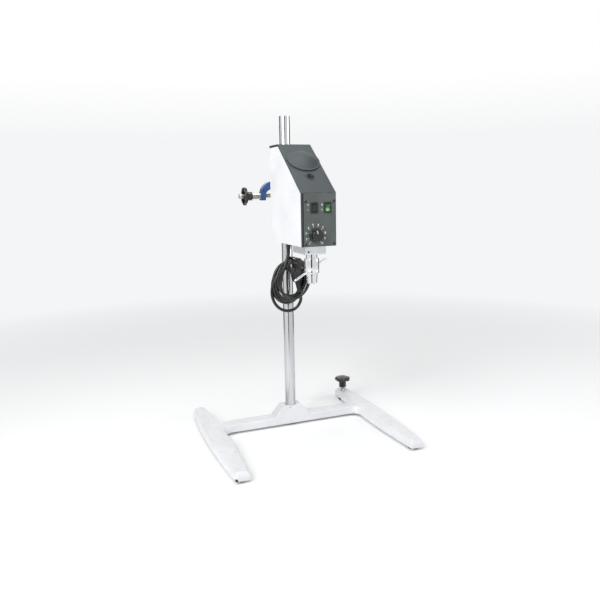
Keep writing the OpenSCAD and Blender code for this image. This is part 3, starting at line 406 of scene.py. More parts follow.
def eased(node, width):
    """A copy of a node with its edges rounded as a moulding's are."""
    piece = merged_copy(node)
    bpy.ops.mesh.dissolve_limited(angle_limit=math.radians(0.4))
    end_edit()
    bpy.ops.object.shade_smooth()
    smooth(soften(piece, width))
    return modified(piece, "WEIGHTED_NORMAL", keep_sharp=True, weight=80)


# ---- Finishes ----


def rgb(r, g, b):
    """A colour from its 8-bit values, as the shaders take it."""
    def channel(v):
        v /= 255
        return v / 12.92 if v <= 0.04045 else ((v + 0.055) / 1.055) ** 2.4
    return (channel(r), channel(g), channel(b), 1)


def add_node(tree, kind, place, **values):
    """Adds a node; a value named after a socket is set there, any other is a property."""
    node = tree.nodes.new(kind)
    node.location = place
    for key, value in values.items():
        socket = node.inputs.get(key.replace("_", " "))
        if socket is not None:
            socket.default_value = value
        else:
            setattr(node, key, value)
    return node


def new_group(name, inputs, outputs):
    tree = bpy.data.node_groups.new(name, "ShaderNodeTree")
    for label, value in inputs:
        kind = "NodeSocketVector" if isinstance(value, tuple) else "NodeSocketFloat"
        tree.interface.new_socket(label, in_out="INPUT", socket_type=kind).default_value = value
    for label in outputs:
        tree.interface.new_socket(label, in_out="OUTPUT", socket_type="NodeSocketFloat")
    given = add_node(tree, "NodeGroupInput", (-900, 0))
    return tree, given, add_node(tree, "NodeGroupOutput", (600, 0))


def make_grain_group():
    """Cloudy and fine variation over a surface, stretched as the finish asks."""
    tree, given, out = new_group(
        "surface grain", [("Size", (40.0, 40.0, 40.0)), ("Fineness", 9.0)], ["Cloud", "Grain"]
    )
    coords = add_node(tree, "ShaderNodeTexCoord", (-900, 250))
    sized = add_node(tree, "ShaderNodeVectorMath", (-650, 150), operation="MULTIPLY")
    cloud = add_node(tree, "ShaderNodeTexNoise", (-350, 250), Scale=1.0, Detail=4.0, Roughness=0.55)
    finer = add_node(tree, "ShaderNodeVectorMath", (-450, -100), operation="SCALE")
    grain = add_node(tree, "ShaderNodeTexNoise", (-200, -100), Scale=1.0, Detail=3.0)
    link = tree.links.new
    link(coords.outputs["Object"], sized.inputs[0])
    link(given.outputs["Size"], sized.inputs[1])
    link(sized.outputs[0], cloud.inputs["Vector"])
    link(sized.outputs[0], finer.inputs[0])
    link(given.outputs["Fineness"], finer.inputs["Scale"])
    link(finer.outputs[0], grain.inputs["Vector"])
    link(cloud.outputs["Fac"], out.inputs["Cloud"])
    link(grain.outputs["Fac"], out.inputs["Grain"])
    return tree


def make_edge_group():
    """How near a point is to a sharp outer edge, broken up as rubbing leaves it."""
    tree, given, out = new_group(
        "rubbed edges", [("Reach", 0.0012), ("Patchiness", 220.0), ("Strength", 4.0)], ["Edge"]
    )
    coords = add_node(tree, "ShaderNodeTexCoord", (-900, 300))
    facing = add_node(tree, "ShaderNodeNewGeometry", (-700, 300))
    eased_normal = add_node(tree, "ShaderNodeBevel", (-700, -50), samples=6)
    same = add_node(tree, "ShaderNodeVectorMath", (-450, 150), operation="DOT_PRODUCT")
    bend = add_node(tree, "ShaderNodeMath", (-250, 150), operation="SUBTRACT")
    bend.inputs[0].default_value = 1.0
    patches = add_node(tree, "ShaderNodeTexNoise", (-450, -250), Detail=3.0)
    strong = add_node(tree, "ShaderNodeMath", (-50, 150), operation="MULTIPLY")
    broken = add_node(tree, "ShaderNodeMath", (150, 0), operation="MULTIPLY", use_clamp=True)
    spread = add_node(tree, "ShaderNodeMapRange", (-200, -250), From_Min=0.42, From_Max=0.62)
    link = tree.links.new
    link(given.outputs["Reach"], eased_normal.inputs["Radius"])
    link(facing.outputs["Normal"], same.inputs[0])
    link(eased_normal.outputs["Normal"], same.inputs[1])
    link(same.outputs["Value"], bend.inputs[1])
    link(bend.outputs[0], strong.inputs[0])
    link(given.outputs["Strength"], strong.inputs[1])
    link(coords.outputs["Object"], patches.inputs["Vector"])
    link(given.outputs["Patchiness"], patches.inputs["Scale"])
    link(patches.outputs["Fac"], spread.inputs["Value"])
    link(strong.outputs[0], broken.inputs[0])
    link(spread.outputs["Result"], broken.inputs[1])
    link(broken.outputs[0], out.inputs["Edge"])
    return tree


def make_dust_group():
    """Dust that settles on what faces up, and small marks all over."""
    tree, given, out = new_group(
        "dust and marks", [("Dust size", 60.0), ("Mark size", 160.0), ("Mark share", 0.72)],
        ["Dust", "Marks"],
    )
    coords = add_node(tree, "ShaderNodeTexCoord", (-900, 200))
    facing = add_node(tree, "ShaderNodeNewGeometry", (-900, -100))
    parts = add_node(tree, "ShaderNodeSeparateXYZ", (-700, -100))
    upward = add_node(tree, "ShaderNodeMapRange", (-500, -100), From_Min=0.5)
    cloud = add_node(tree, "ShaderNodeTexNoise", (-500, 200), Detail=5.0, Roughness=0.65)
    dusty = add_node(tree, "ShaderNodeMath", (-200, 100), operation="MULTIPLY", use_clamp=True)
    marks = add_node(tree, "ShaderNodeTexNoise", (-500, -400), Detail=2.0, Roughness=0.4)
    few = add_node(tree, "ShaderNodeMapRange", (-200, -400), From_Max=0.8)
    link = tree.links.new
    link(coords.outputs["Object"], cloud.inputs["Vector"])
    link(given.outputs["Dust size"], cloud.inputs["Scale"])
    link(facing.outputs["Normal"], parts.inputs[0])
    link(parts.outputs["Z"], upward.inputs["Value"])
    link(cloud.outputs["Fac"], dusty.inputs[0])
    link(upward.outputs["Result"], dusty.inputs[1])
    link(coords.outputs["Object"], marks.inputs["Vector"])
    link(given.outputs["Mark size"], marks.inputs["Scale"])
    link(marks.outputs["Fac"], few.inputs["Value"])
    link(given.outputs["Mark share"], few.inputs["From Min"])
    link(dusty.outputs[0], out.inputs["Dust"])
    link(few.outputs["Result"], out.inputs["Marks"])
    return tree


def make_hammer_group():
    """The shallow round dimples of hammered enamel."""
    tree, given, out = new_group("hammered enamel", [("Scale", 420.0)], ["Dimple"])
    coords = add_node(tree, "ShaderNodeTexCoord", (-700, 0))
    cells = add_node(tree, "ShaderNodeTexVoronoi", (-450, 0), feature="SMOOTH_F1", Smoothness=0.6)
    link = tree.links.new
    link(coords.outputs["Object"], cells.inputs["Vector"])
    link(given.outputs["Scale"], cells.inputs["Scale"])
    link(cells.outputs["Distance"], out.inputs["Dimple"])
    return tree


GRAIN = make_grain_group()
EDGES = make_edge_group()
DUST = make_dust_group()
HAMMER = make_hammer_group()


def mixed(tree, place, factor, low, high):
    """Mixes two colours, or a colour made so far, by a mask."""
    mix = add_node(tree, "ShaderNodeMix", place, data_type="RGBA")
    tree.links.new(factor, mix.inputs["Factor"])
    for socket, value in ((mix.inputs[6], low), (mix.inputs[7], high)):
        if isinstance(value, tuple):
            socket.default_value = value
        else:
            tree.links.new(value, socket)
    return mix.outputs[2]


def ranged(tree, place, value, low, high, from_low=0.0, from_high=1.0):
    spread = add_node(tree, "ShaderNodeMapRange", place, From_Min=from_low, From_Max=from_high,
                      To_Min=low, To_Max=high)
    tree.links.new(value, spread.inputs["Value"])
    return spread.outputs["Result"]


def finish(name, low, high, rough, metal=0.0, size=40.0, fineness=9.0, bump=0.02, worn=None,
           reach=0.0012, dust=None, marks=None, mark_share=0.7, hammer=0.0, constants=()):
    """A finish: two shades in clouds, its gloss, its grain, and what use and dust leave on it."""
    contrast = (0.35, 0.65)
    material = bpy.data.materials.new(name)
    material.use_nodes = True
    tree = material.node_tree
    shader = tree.nodes["Principled BSDF"]
    link = tree.links.new
    size = size if isinstance(size, tuple) else (size,) * 3
    grain = add_node(tree, "ShaderNodeGroup", (-1100, 200), node_tree=GRAIN, Size=size,
                     Fineness=fineness)
    cloud = ranged(tree, (-900, 300), grain.outputs["Cloud"], 0, 1, *contrast)
    colour = mixed(tree, (-700, 300), cloud, low, high)
    gloss = ranged(tree, (-700, 0), grain.outputs["Cloud"], rough[0], rough[1], *contrast)
    if marks or dust:
        fallen = add_node(tree, "ShaderNodeGroup", (-1100, -200), node_tree=DUST,
                          Mark_share=mark_share)
        if marks:
            colour = mixed(tree, (-550, 400), fallen.outputs["Marks"], colour, marks)
        if dust:
            share = ranged(tree, (-750, -250), fallen.outputs["Dust"], 0, 0.5, 0.35, 0.8)
            colour = mixed(tree, (-400, 400), share, colour, dust)
    if worn:
        edge = add_node(tree, "ShaderNodeGroup", (-1100, -500), node_tree=EDGES, Reach=reach)
        colour = mixed(tree, (-250, 400), edge.outputs["Edge"], colour, worn)
    height = grain.outputs["Grain"]
    if hammer:
        dimples = add_node(tree, "ShaderNodeGroup", (-1100, -700), node_tree=HAMMER, Scale=hammer)
        height = dimples.outputs["Dimple"]
        hollow = ranged(tree, (-500, -600), height, 0.5, 0, 0, 0.5)
        colour = mixed(tree, (-150, 500), hollow, colour, high)
    raised = add_node(tree, "ShaderNodeBump", (-300, -300), Strength=1.0, Distance=bump * MM)
    link(height, raised.inputs["Height"])
    link(colour, shader.inputs["Base Color"])
    link(gloss, shader.inputs["Roughness"])
    link(raised.outputs["Normal"], shader.inputs["Normal"])
    shader.inputs["Metallic"].default_value = metal
    for socket, value in constants:
        shader.inputs[socket].default_value = value
    return material


FINISHES = {
    "white_paint": finish(
        "white stove enamel", rgb(226, 227, 230), rgb(236, 237, 240), (0.3, 0.42), size=9.0,
        fineness=60.0, bump=0.05, worn=rgb(176, 178, 182), reach=0.0022, dust=rgb(206, 205, 203),
        marks=rgb(120, 120, 124), mark_share=0.73, constants=[("Coat Weight", 0.25)],
    ),
    "white_shell": finish(
        "white moulded shell", rgb(240, 241, 244), rgb(249, 249, 251), (0.3, 0.4), size=12.0,
        fineness=80.0, bump=0.03, worn=rgb(205, 206, 210), reach=0.0008, marks=rgb(196, 196, 198),
        mark_share=0.76,
    ),
    "slate_paint": finish(
        "slate grey moulding", rgb(52, 60, 63), rgb(64, 72, 75), (0.32, 0.44), size=14.0,
        fineness=90.0, bump=0.05, worn=rgb(126, 132, 135), reach=0.0008, dust=rgb(96, 102, 104),
        marks=rgb(118, 124, 126), mark_share=0.78, constants=[("Specular IOR Level", 0.3)],
    ),
    "slate_plate": finish(
        "printed front plate", rgb(78, 86, 83), rgb(92, 99, 96), (0.34, 0.46), size=16.0,
        fineness=110.0, bump=0.02, worn=rgb(150, 156, 154), reach=0.0006,
    ),
    "blue_paint": finish(
        "blue hammered enamel", rgb(30, 68, 122), rgb(52, 96, 152), (0.24, 0.4), size=50.0,
        bump=0.22, worn=rgb(96, 128, 176), reach=0.001, hammer=520.0,
        constants=[("Coat Weight", 0.6), ("Coat Roughness", 0.12)],
    ),
    "stainless": finish(
        "drawn stainless steel", rgb(186, 188, 191), rgb(214, 215, 217), (0.12, 0.22), metal=1.0,
        size=(120.0, 120.0, 4.0), fineness=8.0, bump=0.006, marks=rgb(140, 142, 146),
        mark_share=0.8,
    ),
    "zinc": finish(
        "zinc-plated steel", rgb(172, 172, 166), rgb(212, 211, 202), (0.22, 0.38), metal=1.0,
        size=90.0, bump=0.01, worn=rgb(228, 226, 216), reach=0.0004,
    ),
    "chrome": finish(
        "polished chrome", rgb(220, 222, 225), rgb(240, 241, 243), (0.06, 0.15), metal=1.0,
        size=60.0, bump=0.004, marks=rgb(150, 150, 152), mark_share=0.78,
    ),
    "aluminium": finish(
        "milled aluminium", rgb(204, 206, 209), rgb(228, 230, 232), (0.46, 0.6), metal=0.7,
        size=(20.0, 260.0, 260.0), fineness=4.0, bump=0.012, worn=rgb(236, 238, 240),
        reach=0.0005,
    ),
    "black_plastic": finish(
        "glossy black plastic", rgb(9, 9, 10), rgb(17, 17, 18), (0.1, 0.18), fineness=20.0,
        bump=0.006, worn=rgb(52, 52, 54), reach=0.0005,
        constants=[("Coat Weight", 0.4), ("Coat Roughness", 0.08)],
    ),
    "dull_plastic": finish(
        "dull dark plastic", rgb(30, 31, 33), rgb(46, 47, 49), (0.42, 0.6), size=60.0,
        fineness=20.0, bump=0.03, worn=rgb(88, 88, 90), reach=0.0005, dust=rgb(90, 90, 90),
    ),
    "rubber": finish(
        "black rubber", rgb(18, 18, 19), rgb(32, 32, 33), (0.34, 0.5), size=70.0, fineness=18.0,
        bump=0.02, dust=rgb(74, 74, 74),
    ),
    "copper": finish(
        "lacquered copper winding", rgb(150, 78, 42), rgb(196, 112, 66), (0.25, 0.4), metal=1.0,
        size=(60.0, 60.0, 900.0), fineness=3.0, bump=0.08,
    ),
    "board": finish(
        "green circuit board", rgb(24, 78, 48), rgb(40, 104, 66), (0.35, 0.5),
        size=(300.0, 300.0, 30.0), fineness=6.0, bump=0.03, marks=rgb(196, 186, 130),
        mark_share=0.62,
    ),
}


def make_green_lens():
    """A green lens with a small lamp glowing through it."""
    lamp_place = at(-4.6, -248, 525.4)
    material = finish(
        "green lens", rgb(12, 66, 34), rgb(24, 104, 54), (0.1, 0.2), size=160.0, bump=0.01,
        constants=[("Coat Weight", 0.5), ("Emission Strength", 0.6)],
    )
    tree = material.node_tree
    shader = tree.nodes["Principled BSDF"]
    coords = add_node(tree, "ShaderNodeTexCoord", (-900, 800))
    lamp = add_node(tree, "ShaderNodeMapping", (-700, 800))
    lamp.inputs["Location"].default_value = tuple(-lamp_place)
    away = add_node(tree, "ShaderNodeVectorMath", (-500, 800), operation="LENGTH")
    tree.links.new(coords.outputs["Object"], lamp.inputs["Vector"])
    tree.links.new(lamp.outputs["Vector"], away.inputs[0])
    glow = ranged(tree, (-300, 800), away.outputs["Value"], 1, 0, 0.0008, 0.006)
    colour = mixed(tree, (-100, 800), glow, rgb(4, 30, 12), rgb(186, 255, 160))
    tree.links.new(colour, shader.inputs["Emission Color"])
    return material


JACKET = finish(
    "glossy cord jacket", rgb(6, 6, 7), rgb(12, 12, 13), (0.16, 0.28), size=60.0, fineness=12.0,
    bump=0.008, constants=[("Coat Weight", 0.2), ("Coat Roughness", 0.1)],
)
BLACKENED = finish(
    "blackened screw steel", rgb(24, 24, 26), rgb(44, 44, 46), (0.3, 0.45), metal=0.8,
    size=80.0, bump=0.01, worn=rgb(110, 110, 112), reach=0.0003,
)
FINISHES["green_lens"] = make_green_lens()


def chip_enamel(material, place, size):
    """A knocked corner where the enamel is gone down to dark iron."""
    tree = material.node_tree
    shader = tree.nodes["Principled BSDF"]
    coords = add_node(tree, "ShaderNodeTexCoord", (-1500, 900))
    from_chip = add_node(tree, "ShaderNodeMapping", (-1300, 900))
    from_chip.inputs["Location"].default_value = tuple(-place)
    away = add_node(tree, "ShaderNodeVectorMath", (-1100, 900), operation="LENGTH")
    ragged = add_node(tree, "ShaderNodeTexNoise", (-1300, 700), Scale=260.0, Detail=2.0)
    uneven = add_node(tree, "ShaderNodeMath", (-900, 800), operation="MULTIPLY_ADD")
    uneven.inputs[1].default_value = size * 0.9 * MM
    link = tree.links.new
    link(coords.outputs["Object"], from_chip.inputs["Vector"])
    link(from_chip.outputs["Vector"], away.inputs[0])
    link(coords.outputs["Object"], ragged.inputs["Vector"])
    link(ragged.outputs["Fac"], uneven.inputs[0])
    link(away.outputs["Value"], uneven.inputs[2])
    share = ranged(tree, (-700, 800), uneven.outputs[0], 1, 0, size * 1.35 * MM, size * 1.5 * MM)
    painted = shader.inputs["Base Color"].links[0].from_socket
    link(mixed(tree, (0, 600), share, painted, rgb(34, 33, 34)), shader.inputs["Base Color"])


chip_enamel(FINISHES["white_paint"], at(-211, -264, 9), 4.0)
PRINT = finish(
    "pale print", rgb(232, 234, 232), rgb(244, 245, 244), (0.45, 0.55), size=80.0, bump=0.004
)

for part in frame["record"]["subparts"]:
    mesh = frame["nodes"][part["node"]].data
    mesh.materials.clear()
    mesh.materials.append(FINISHES[part["material_slot"]])
frame["nodes"]["block_screws"].data.materials[0] = BLACKENED


# ---- Floor and light ----

LOW_SKY = rgb(244, 245, 246)


def looked_at(tree, *rays):
    """A mask that is 1 for rays of these kinds."""
    path = add_node(tree, "ShaderNodeLightPath", (-800, 400))
    seen = path.outputs[rays[0]]
    for ray in rays[1:]:
        either = add_node(tree, "ShaderNodeMath", (-500, 400), operation="MAXIMUM")
        tree.links.new(seen, either.inputs[0])
        tree.links.new(path.outputs[ray], either.inputs[1])
        seen = either.outputs[0]
    return seen


def lay_floor():
    """A white floor that fades into the low sky, for the camera and for gloss."""
    floor = plane("floor", 60)
    material = bpy.data.materials.new("pale floor")
    material.use_nodes = True
    tree = material.node_tree
    link = tree.links.new
    shader = tree.nodes["Principled BSDF"]
    shader.inputs["Roughness"].default_value = 0.8
    shader.inputs["Specular IOR Level"].default_value = 0.1
    shader.inputs["Base Color"].default_value = (1, 1, 1, 1)
    coords = add_node(tree, "ShaderNodeTexCoord", (-900, 0))
    away = add_node(tree, "ShaderNodeVectorMath", (-700, 0), operation="LENGTH")
    link(coords.outputs["Object"], away.inputs[0])
    far = ranged(tree, (-500, 0), away.outputs["Value"], 0, 1, 0.6, 2.0)
    seen_far = add_node(tree, "ShaderNodeMath", (-200, 300), operation="MULTIPLY")
    horizon = add_node(tree, "ShaderNodeEmission", (0, 300), Color=LOW_SKY, Strength=1.0)
    blend = add_node(tree, "ShaderNodeMixShader", (300, 100))
    link(looked_at(tree, "Is Camera Ray", "Is Glossy Ray"), seen_far.inputs[0])
    link(far, seen_far.inputs[1])
    link(seen_far.outputs[0], blend.inputs[0])
    link(shader.outputs[0], blend.inputs[1])
    link(horizon.outputs[0], blend.inputs[2])
    link(blend.outputs[0], tree.nodes["Material Output"].inputs["Surface"])
    floor.data.materials.append(material)


def hang_flags():
    """Dark cloths outside the view, which only gloss shows, as dark lines down the bright metal."""
    cloth = finish("dark cloth", rgb(12, 12, 13), rgb(22, 22, 24), (0.9, 1.0))
    tall, inner = 2.4, 0.4  # a cloth's height, and how near the rod its foot reaches
    for name, azimuth, away, wide in (
        ("flag_behind_camera", -112.0, 1.25, 0.4),
        ("flag_rear_left", 121.0, 1.3, 0.85),
        ("flag_rear_right", 17.0, 1.3, 0.85),
    ):
        flag = plane(name, 1)
        x, y = math.cos(math.radians(azimuth)), math.sin(math.radians(azimuth))
        place = Matrix.Translation((away * x, away * y, tall / 2 + 0.05))
        facing = Vector((-x, -y, 0)).to_track_quat("Z", "Y").to_matrix().to_4x4()
        flag.matrix_world = place @ facing @ Matrix.Diagonal((wide, tall, 1, 1))
        edit(fixed(flag))
        # its foot runs along the floor towards the stand, narrowing as it comes nearer
        pick(flag, "VERT", lambda v: v.co.z < 0.06)
        bpy.ops.transform.translate(value=(0, 0, -0.045))
        inward = ((inner - away) * x, (inner - away) * y, 0)
        bpy.ops.mesh.extrude_region_move(TRANSFORM_OT_translate={"value": inward})
        bpy.ops.transform.resize(
            value=(inner / away,) * 3, center_override=(inner * x, inner * y, 0.005)
        )
        end_edit()
        flag.data.materials.append(cloth)
        flag.visible_camera = flag.visible_diffuse = flag.visible_shadow = False


def light_world():
    """A pale light all round; the camera and gloss see a sky that whitens above the horizon."""
    world = bpy.data.worlds.new("studio")
    bpy.context.scene.world = world
    world.use_nodes = True
    tree = world.node_tree
    tree.nodes.clear()
    link = tree.links.new
    out = add_node(tree, "ShaderNodeOutputWorld", (600, 0))
    seen = add_node(tree, "ShaderNodeBackground", (100, 150), Strength=1.0)
    around = add_node(tree, "ShaderNodeBackground", (100, -50), Color=(0.97, 0.985, 1, 1),
                      Strength=0.42)
    blend = add_node(tree, "ShaderNodeMixShader", (350, 0))
    coords = add_node(tree, "ShaderNodeTexCoord", (-700, 0))
    parts = add_node(tree, "ShaderNodeSeparateXYZ", (-500, 0))
    link(coords.outputs["Generated"], parts.inputs[0])
    height = ranged(tree, (-300, 0), parts.outputs["Z"], 0, 1, 0.075, 0.16)
    link(mixed(tree, (-100, 0), height, LOW_SKY, (1, 1, 1, 1)), seen.inputs["Color"])
    shown = looked_at(tree, "Is Camera Ray", "Is Glossy Ray", "Is Transmission Ray")
    link(shown, blend.inputs[0])
    link(around.outputs[0], blend.inputs[1])
    link(seen.outputs[0], blend.inputs[2])
    link(blend.outputs[0], out.inputs["Surface"])


lay_floor()
light_world()
hang_flags()
add_lamp("left window", (-1.5, -1.0, 1.5), (0, -0.1, 0.4), (1.0, 1.4), 28)
add_lamp("right window", (1.6, -0.7, 1.1), (0, -0.1, 0.4), (0.8, 1.4), 8)
add_lamp("top panel", (0.0, -0.2, 2.1), (0, -0.1, 0.3), (1.2, 1.2), 12)
bpy.context.scene.view_settings.view_transform = "Standard"

# ---- Castings and shells ----

for node, width, body, slot in (
    ("lower_housing", 0.9, "head", "white_shell"),
    ("upper_housing", 0.9, "head", "white_shell"),
    ("front_cover", 0.7, "head", "slate_paint"),
    ("control_plate", 0.35, "head", "slate_plate"),
    ("bearing_block", 0.6, "head", "aluminium"),
    ("range_switch", 0.4, "head", "black_plastic"),
    ("power_switch", 0.4, "head", "black_plastic"),
    ("range_rocker", 0.35, "range_paddle", "black_plastic"),
    ("power_rocker", 0.35, "power_paddle", "green_lens"),
    ("shaft_port", 0.4, "head", "dull_plastic"),
    ("chuck_body", 0.3, "spindle_set", "chrome"),
    ("rubber_feet", 0.8, "stand", "rubber"),
    ("levelling_foot", 0.8, "stand", "rubber"),
):
    finished(eased(node, width), slot, body, node)
finished(cast("base_casting", 1.6, 7), "white_paint", "stand", "base_casting")
finished(cast("boss_head", 0.75, 4), "blue_paint", "boss", "boss_head")

rod = smooth(grown("stand_rod_finished", [
    (0, 16.5), (11.8, 16.5), (12.5, 17.2), (12.5, 727.2), (12.3, 727.7), (11.8, 728), (0, 728),
], sides=144))
finished(turn_and_place(rod, at(0, 0, 0)), "stainless", "rod", "stand_rod")

# ---- Clamp knobs and their screws ----


def lobed_knob(name, hub, rim, crown):
    """A seven-lobed knob with a domed crown, from the hub's end upwards."""
    lobe, side = 360 / 7, 360 / 84
    top = hub + rim + crown
    knob = grown(name, [
        (4.05, 0), (9.3, 0), (10, 0.7), (9.6, hub * 0.5), (9.8, hub - 0.8), (11, hub), (17.2, hub),
        (19.4, hub + 0.5), (20.5, hub + 1.9), (20.5, hub + rim - 1.6), (20.2, hub + rim),
        (19.1, hub + rim + crown * 0.36), (16.8, hub + rim + crown * 0.62),
        (13, hub + rim + crown * 0.84), (9, top - crown * 0.04), (6.4, top), (4.05, top),
    ], sides=84, ring=True)
    edit(knob)
    # points are drawn inwards between the lobes, and less so the further they are from the valley
    for steps, share in ((0, 0.88), (1, 0.893), (2, 0.93), (3, 0.983)):
        def in_valley(v):
            phase = math.degrees(math.atan2(v.co.y, v.co.x)) % lobe
            off = min(phase, lobe - phase) / side
            return math.hypot(v.co.x, v.co.y) > 11.5 * MM and abs(off - steps) < 0.2
        pick(knob, "VERT", in_valley)
        bpy.ops.transform.resize(value=(share, share, 1), center_override=(0, 0, 0))
    end_edit()
    return smooth(modified(knob, "SUBSURF", levels=1, render_levels=1), 40)


def thread(start, end, radius, pitch):
    """The (radius, height) of a screw thread's crests and roots."""
    outline = [(radius - 0.8, start)]
    for i in range(int((end - start) / pitch)):
        z = start + i * pitch
        outline += [(radius, z + pitch * 0.35), (radius, z + pitch * 0.5)]
        outline.append((radius - 0.55, z + pitch))
    return outline


def clamp_screw(reach):
    """Thread, grooved collar, the shaft inside the knob, and the domed cap beyond it."""
    knob = reach + 42.5
    section = [(0, 0), (2.6, 0)] + thread(0.4, reach, 4, 1.25) + [
        (3.6, reach + 0.3), (6.5, reach + 0.3), (7, reach + 0.8), (7, reach + 2.6),
        (6.6, reach + 2.9), (6.6, reach + 3.5), (7, reach + 3.8), (7, reach + 16.2),
        (6.6, reach + 16.5), (6.6, reach + 17.1), (7, reach + 17.4), (7, reach + 19.4),
        (6.5, reach + 19.9), (3.95, reach + 20), (3.95, knob), (5.5, knob + 0.05), (6, knob + 0.5),
        (6, knob + 4.6), (5.6, knob + 6.1), (4.6, knob + 7.2), (2.8, knob + 7.8), (0, knob + 8),
    ]
    return smooth(grown("screw", section, sides=48), 30)


def place_clamp(tip, toward, reach, knob, body):
    screw = turn_and_place(clamp_screw(reach), tip, toward)
    knob = turn_and_place(knob, tip + Vector(toward) * (reach + 20) * MM, toward)
    finished(screw, "zinc", body, body + "_screw")
    finished(knob, "black_plastic", body, body + "_knob")


ARM_Z = 552
LEVELLING = (191, 108)
side_knob = lobed_knob("rod_clamp_knob_finished", 13, 6.5, 3)
place_clamp(at(12.8, 0, ARM_Z), (1, 0, 0), 19.2, another(side_knob, "knob"), "rod_clamp")
place_clamp(at(-29.3, 0, ARM_Z), (-1, 0, 0), 32.7, side_knob, "arm_clamp")
low_knob = turn_and_place(lobed_knob("levelling_knob_finished", 18, 7, 4), at(*LEVELLING, 35))
finished(low_knob, "black_plastic", "levelling", "levelling_knob")
low_screw = smooth(grown("levelling_screw_finished", [
    (0, 3.2), (4.6, 3.2), (4.98, 3.6), (4.98, 23.5), *thread(24, 35, 4.98, 1.5), (4, 35.5), (4, 59),
    (0, 59),
], sides=48))
finished(turn_and_place(low_screw, at(*LEVELLING, 0)), "zinc", "levelling", "levelling_screw")
low_cap = grown("levelling_cap", [(0, 0), (3.9, 0), (4.0, 0.1), (3.4, 0.6), (0, 0.8)], sides=32)
low_cap = turn_and_place(soften(smooth(low_cap), 0.1), at(*LEVELLING, 63.1))
fit(low_cap, "levelling_cap", FINISHES["black_plastic"], "black_plastic", "levelling")

# ---- Chuck and key ----

SPINDLE_Y = -206


def ring_place(face):
    """Radius and height of a face's middle in millimetres, and which of 72 sides it is on."""
    c = face.calc_center_median() / MM
    return math.hypot(c.x, c.y), c.z, int(math.degrees(math.atan2(c.y, c.x)) % 360 / 5)


def toothed_sleeve():
    """The sleeve, with the ring of teeth that the key turns on its lower slope."""
    sleeve = grown("chuck_sleeve_finished", [
        (13.56, 397.1), (13.9, 397.1), (15.15, 400.3), (15.15, 403.2), (14.85, 403.5),
        (14.85, 404.2), (15.15, 404.5), (15.15, 427.2), (14.3, 428.4), (13.56, 428.4),
    ], sides=72, ring=True)
    edit(sleeve)

    def tooth_gap(face):
        radius, height, side = ring_place(face)
        return 397.2 < height < 400.2 and radius > 14 and side % 2 == 0
    pick(sleeve, "FACE", tooth_gap)
    bpy.ops.mesh.inset(thickness=0.12 * MM, depth=-0.9 * MM, use_individual=True)
    end_edit()
    return smooth(soften(sleeve, 0.15, 1), 25)


sleeve = turn_and_place(toothed_sleeve(), at(HEAD_X, SPINDLE_Y, 0))
finished(sleeve, "chrome", "sleeve", "chuck_sleeve")
finished(eased("key_shank", 0.25), "chrome", "key", "key_shank")

# the key's bar lies along the longest way through its node
bar_low, bar_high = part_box("key_bar")
bar_middle = (bar_low + bar_high) / 2
spots = np.array([v.co for v in frame["nodes"]["key_bar"].data.vertices])
bar_way = Vector(np.linalg.svd(spots - spots.mean(0), full_matrices=False)[2][0])
bar = smooth(grown("key_bar_finished", [
    (0, -42.5), (1.2, -42.4), (2.1, -41.8), (2.5, -40.8), (2.5, -38.2), (2.2, -38), (2.2, -37.4),
    (2.5, -37.2), (2.5, 37.2), (2.2, 37.4), (2.2, 38), (2.5, 38.2), (2.5, 40.8), (2.1, 41.8),
    (1.2, 42.4), (0, 42.5),
], sides=32))
finished(turn_and_place(bar, bar_middle, bar_way), "chrome", "cross_bar", "key_bar")

# ---- Speed knob, its scale and the front's marks ----

FRONT_Y = -246
PLATE_Y = FRONT_Y - 0.3  # where the speed knob starts
DIAL = (HEAD_X - 7, 477.5)
UPRIGHT = Matrix.Rotation(math.pi / 2, 4, "X")  # stands what lies flat against the front


def round_dial(radius, angle):
    return DIAL[0] + radius * math.cos(angle), DIAL[1] + radius * math.sin(angle)


def fluted_knob():
    """Skirt, fluted grip and a slightly dished face, growing out of the plate."""
    knob = grown("speed_knob_finished", [
        (3.05, 0), (13.6, 0), (14.3, 0.6), (14.3, 2.2), (13.7, 3), (11.9, 3.2), (11.75, 4.2),
        (11.75, 13.2), (11.2, 14.4), (10.2, 15), (8.8, 14.9), (7.5, 14.6), (0, 14.5), (0, 11.5),
        (3.05, 11.5),
    ], sides=72, ring=True)
    edit(knob)

    def flute(face):
        radius, height, side = ring_place(face)
        return 4.3 < height < 13.1 and radius > 11 and side % 3 == 0
    pick(knob, "FACE", flute)
    bpy.ops.mesh.inset(thickness=0.15 * MM, depth=-0.45 * MM, use_individual=True)
    end_edit()
    return smooth(soften(knob, 0.18, 1), 28)


dial = turn_and_place(fluted_knob(), at(DIAL[0], PLATE_Y, DIAL[1]), (0, -1, 0))
finished(dial, "black_plastic", "dial", "speed_knob")


def bar_mark(name, x, z, turn, length, width, y=FRONT_Y, height=0.12):
    """A raised bar of print, its corners rounded, standing on the front."""
    mark = plane(name, 1)
    edit(mark)
    bpy.ops.transform.resize(value=(length * MM, width * MM, 1), center_override=(0, 0, 0))
    bpy.ops.mesh.bevel(offset=width * 0.3 * MM, segments=2, affect="VERTICES")
    bpy.ops.mesh.extrude_region_move(TRANSFORM_OT_translate={"value": (0, 0, height * MM)})
    bpy.ops.mesh.select_all(action="SELECT")
    bpy.ops.mesh.normals_make_consistent(inside=False)
    end_edit()
    mark.matrix_world = Matrix.Translation(at(x, y, z)) @ UPRIGHT @ Matrix.Rotation(turn, 4, "Z")
    return fixed(mark)


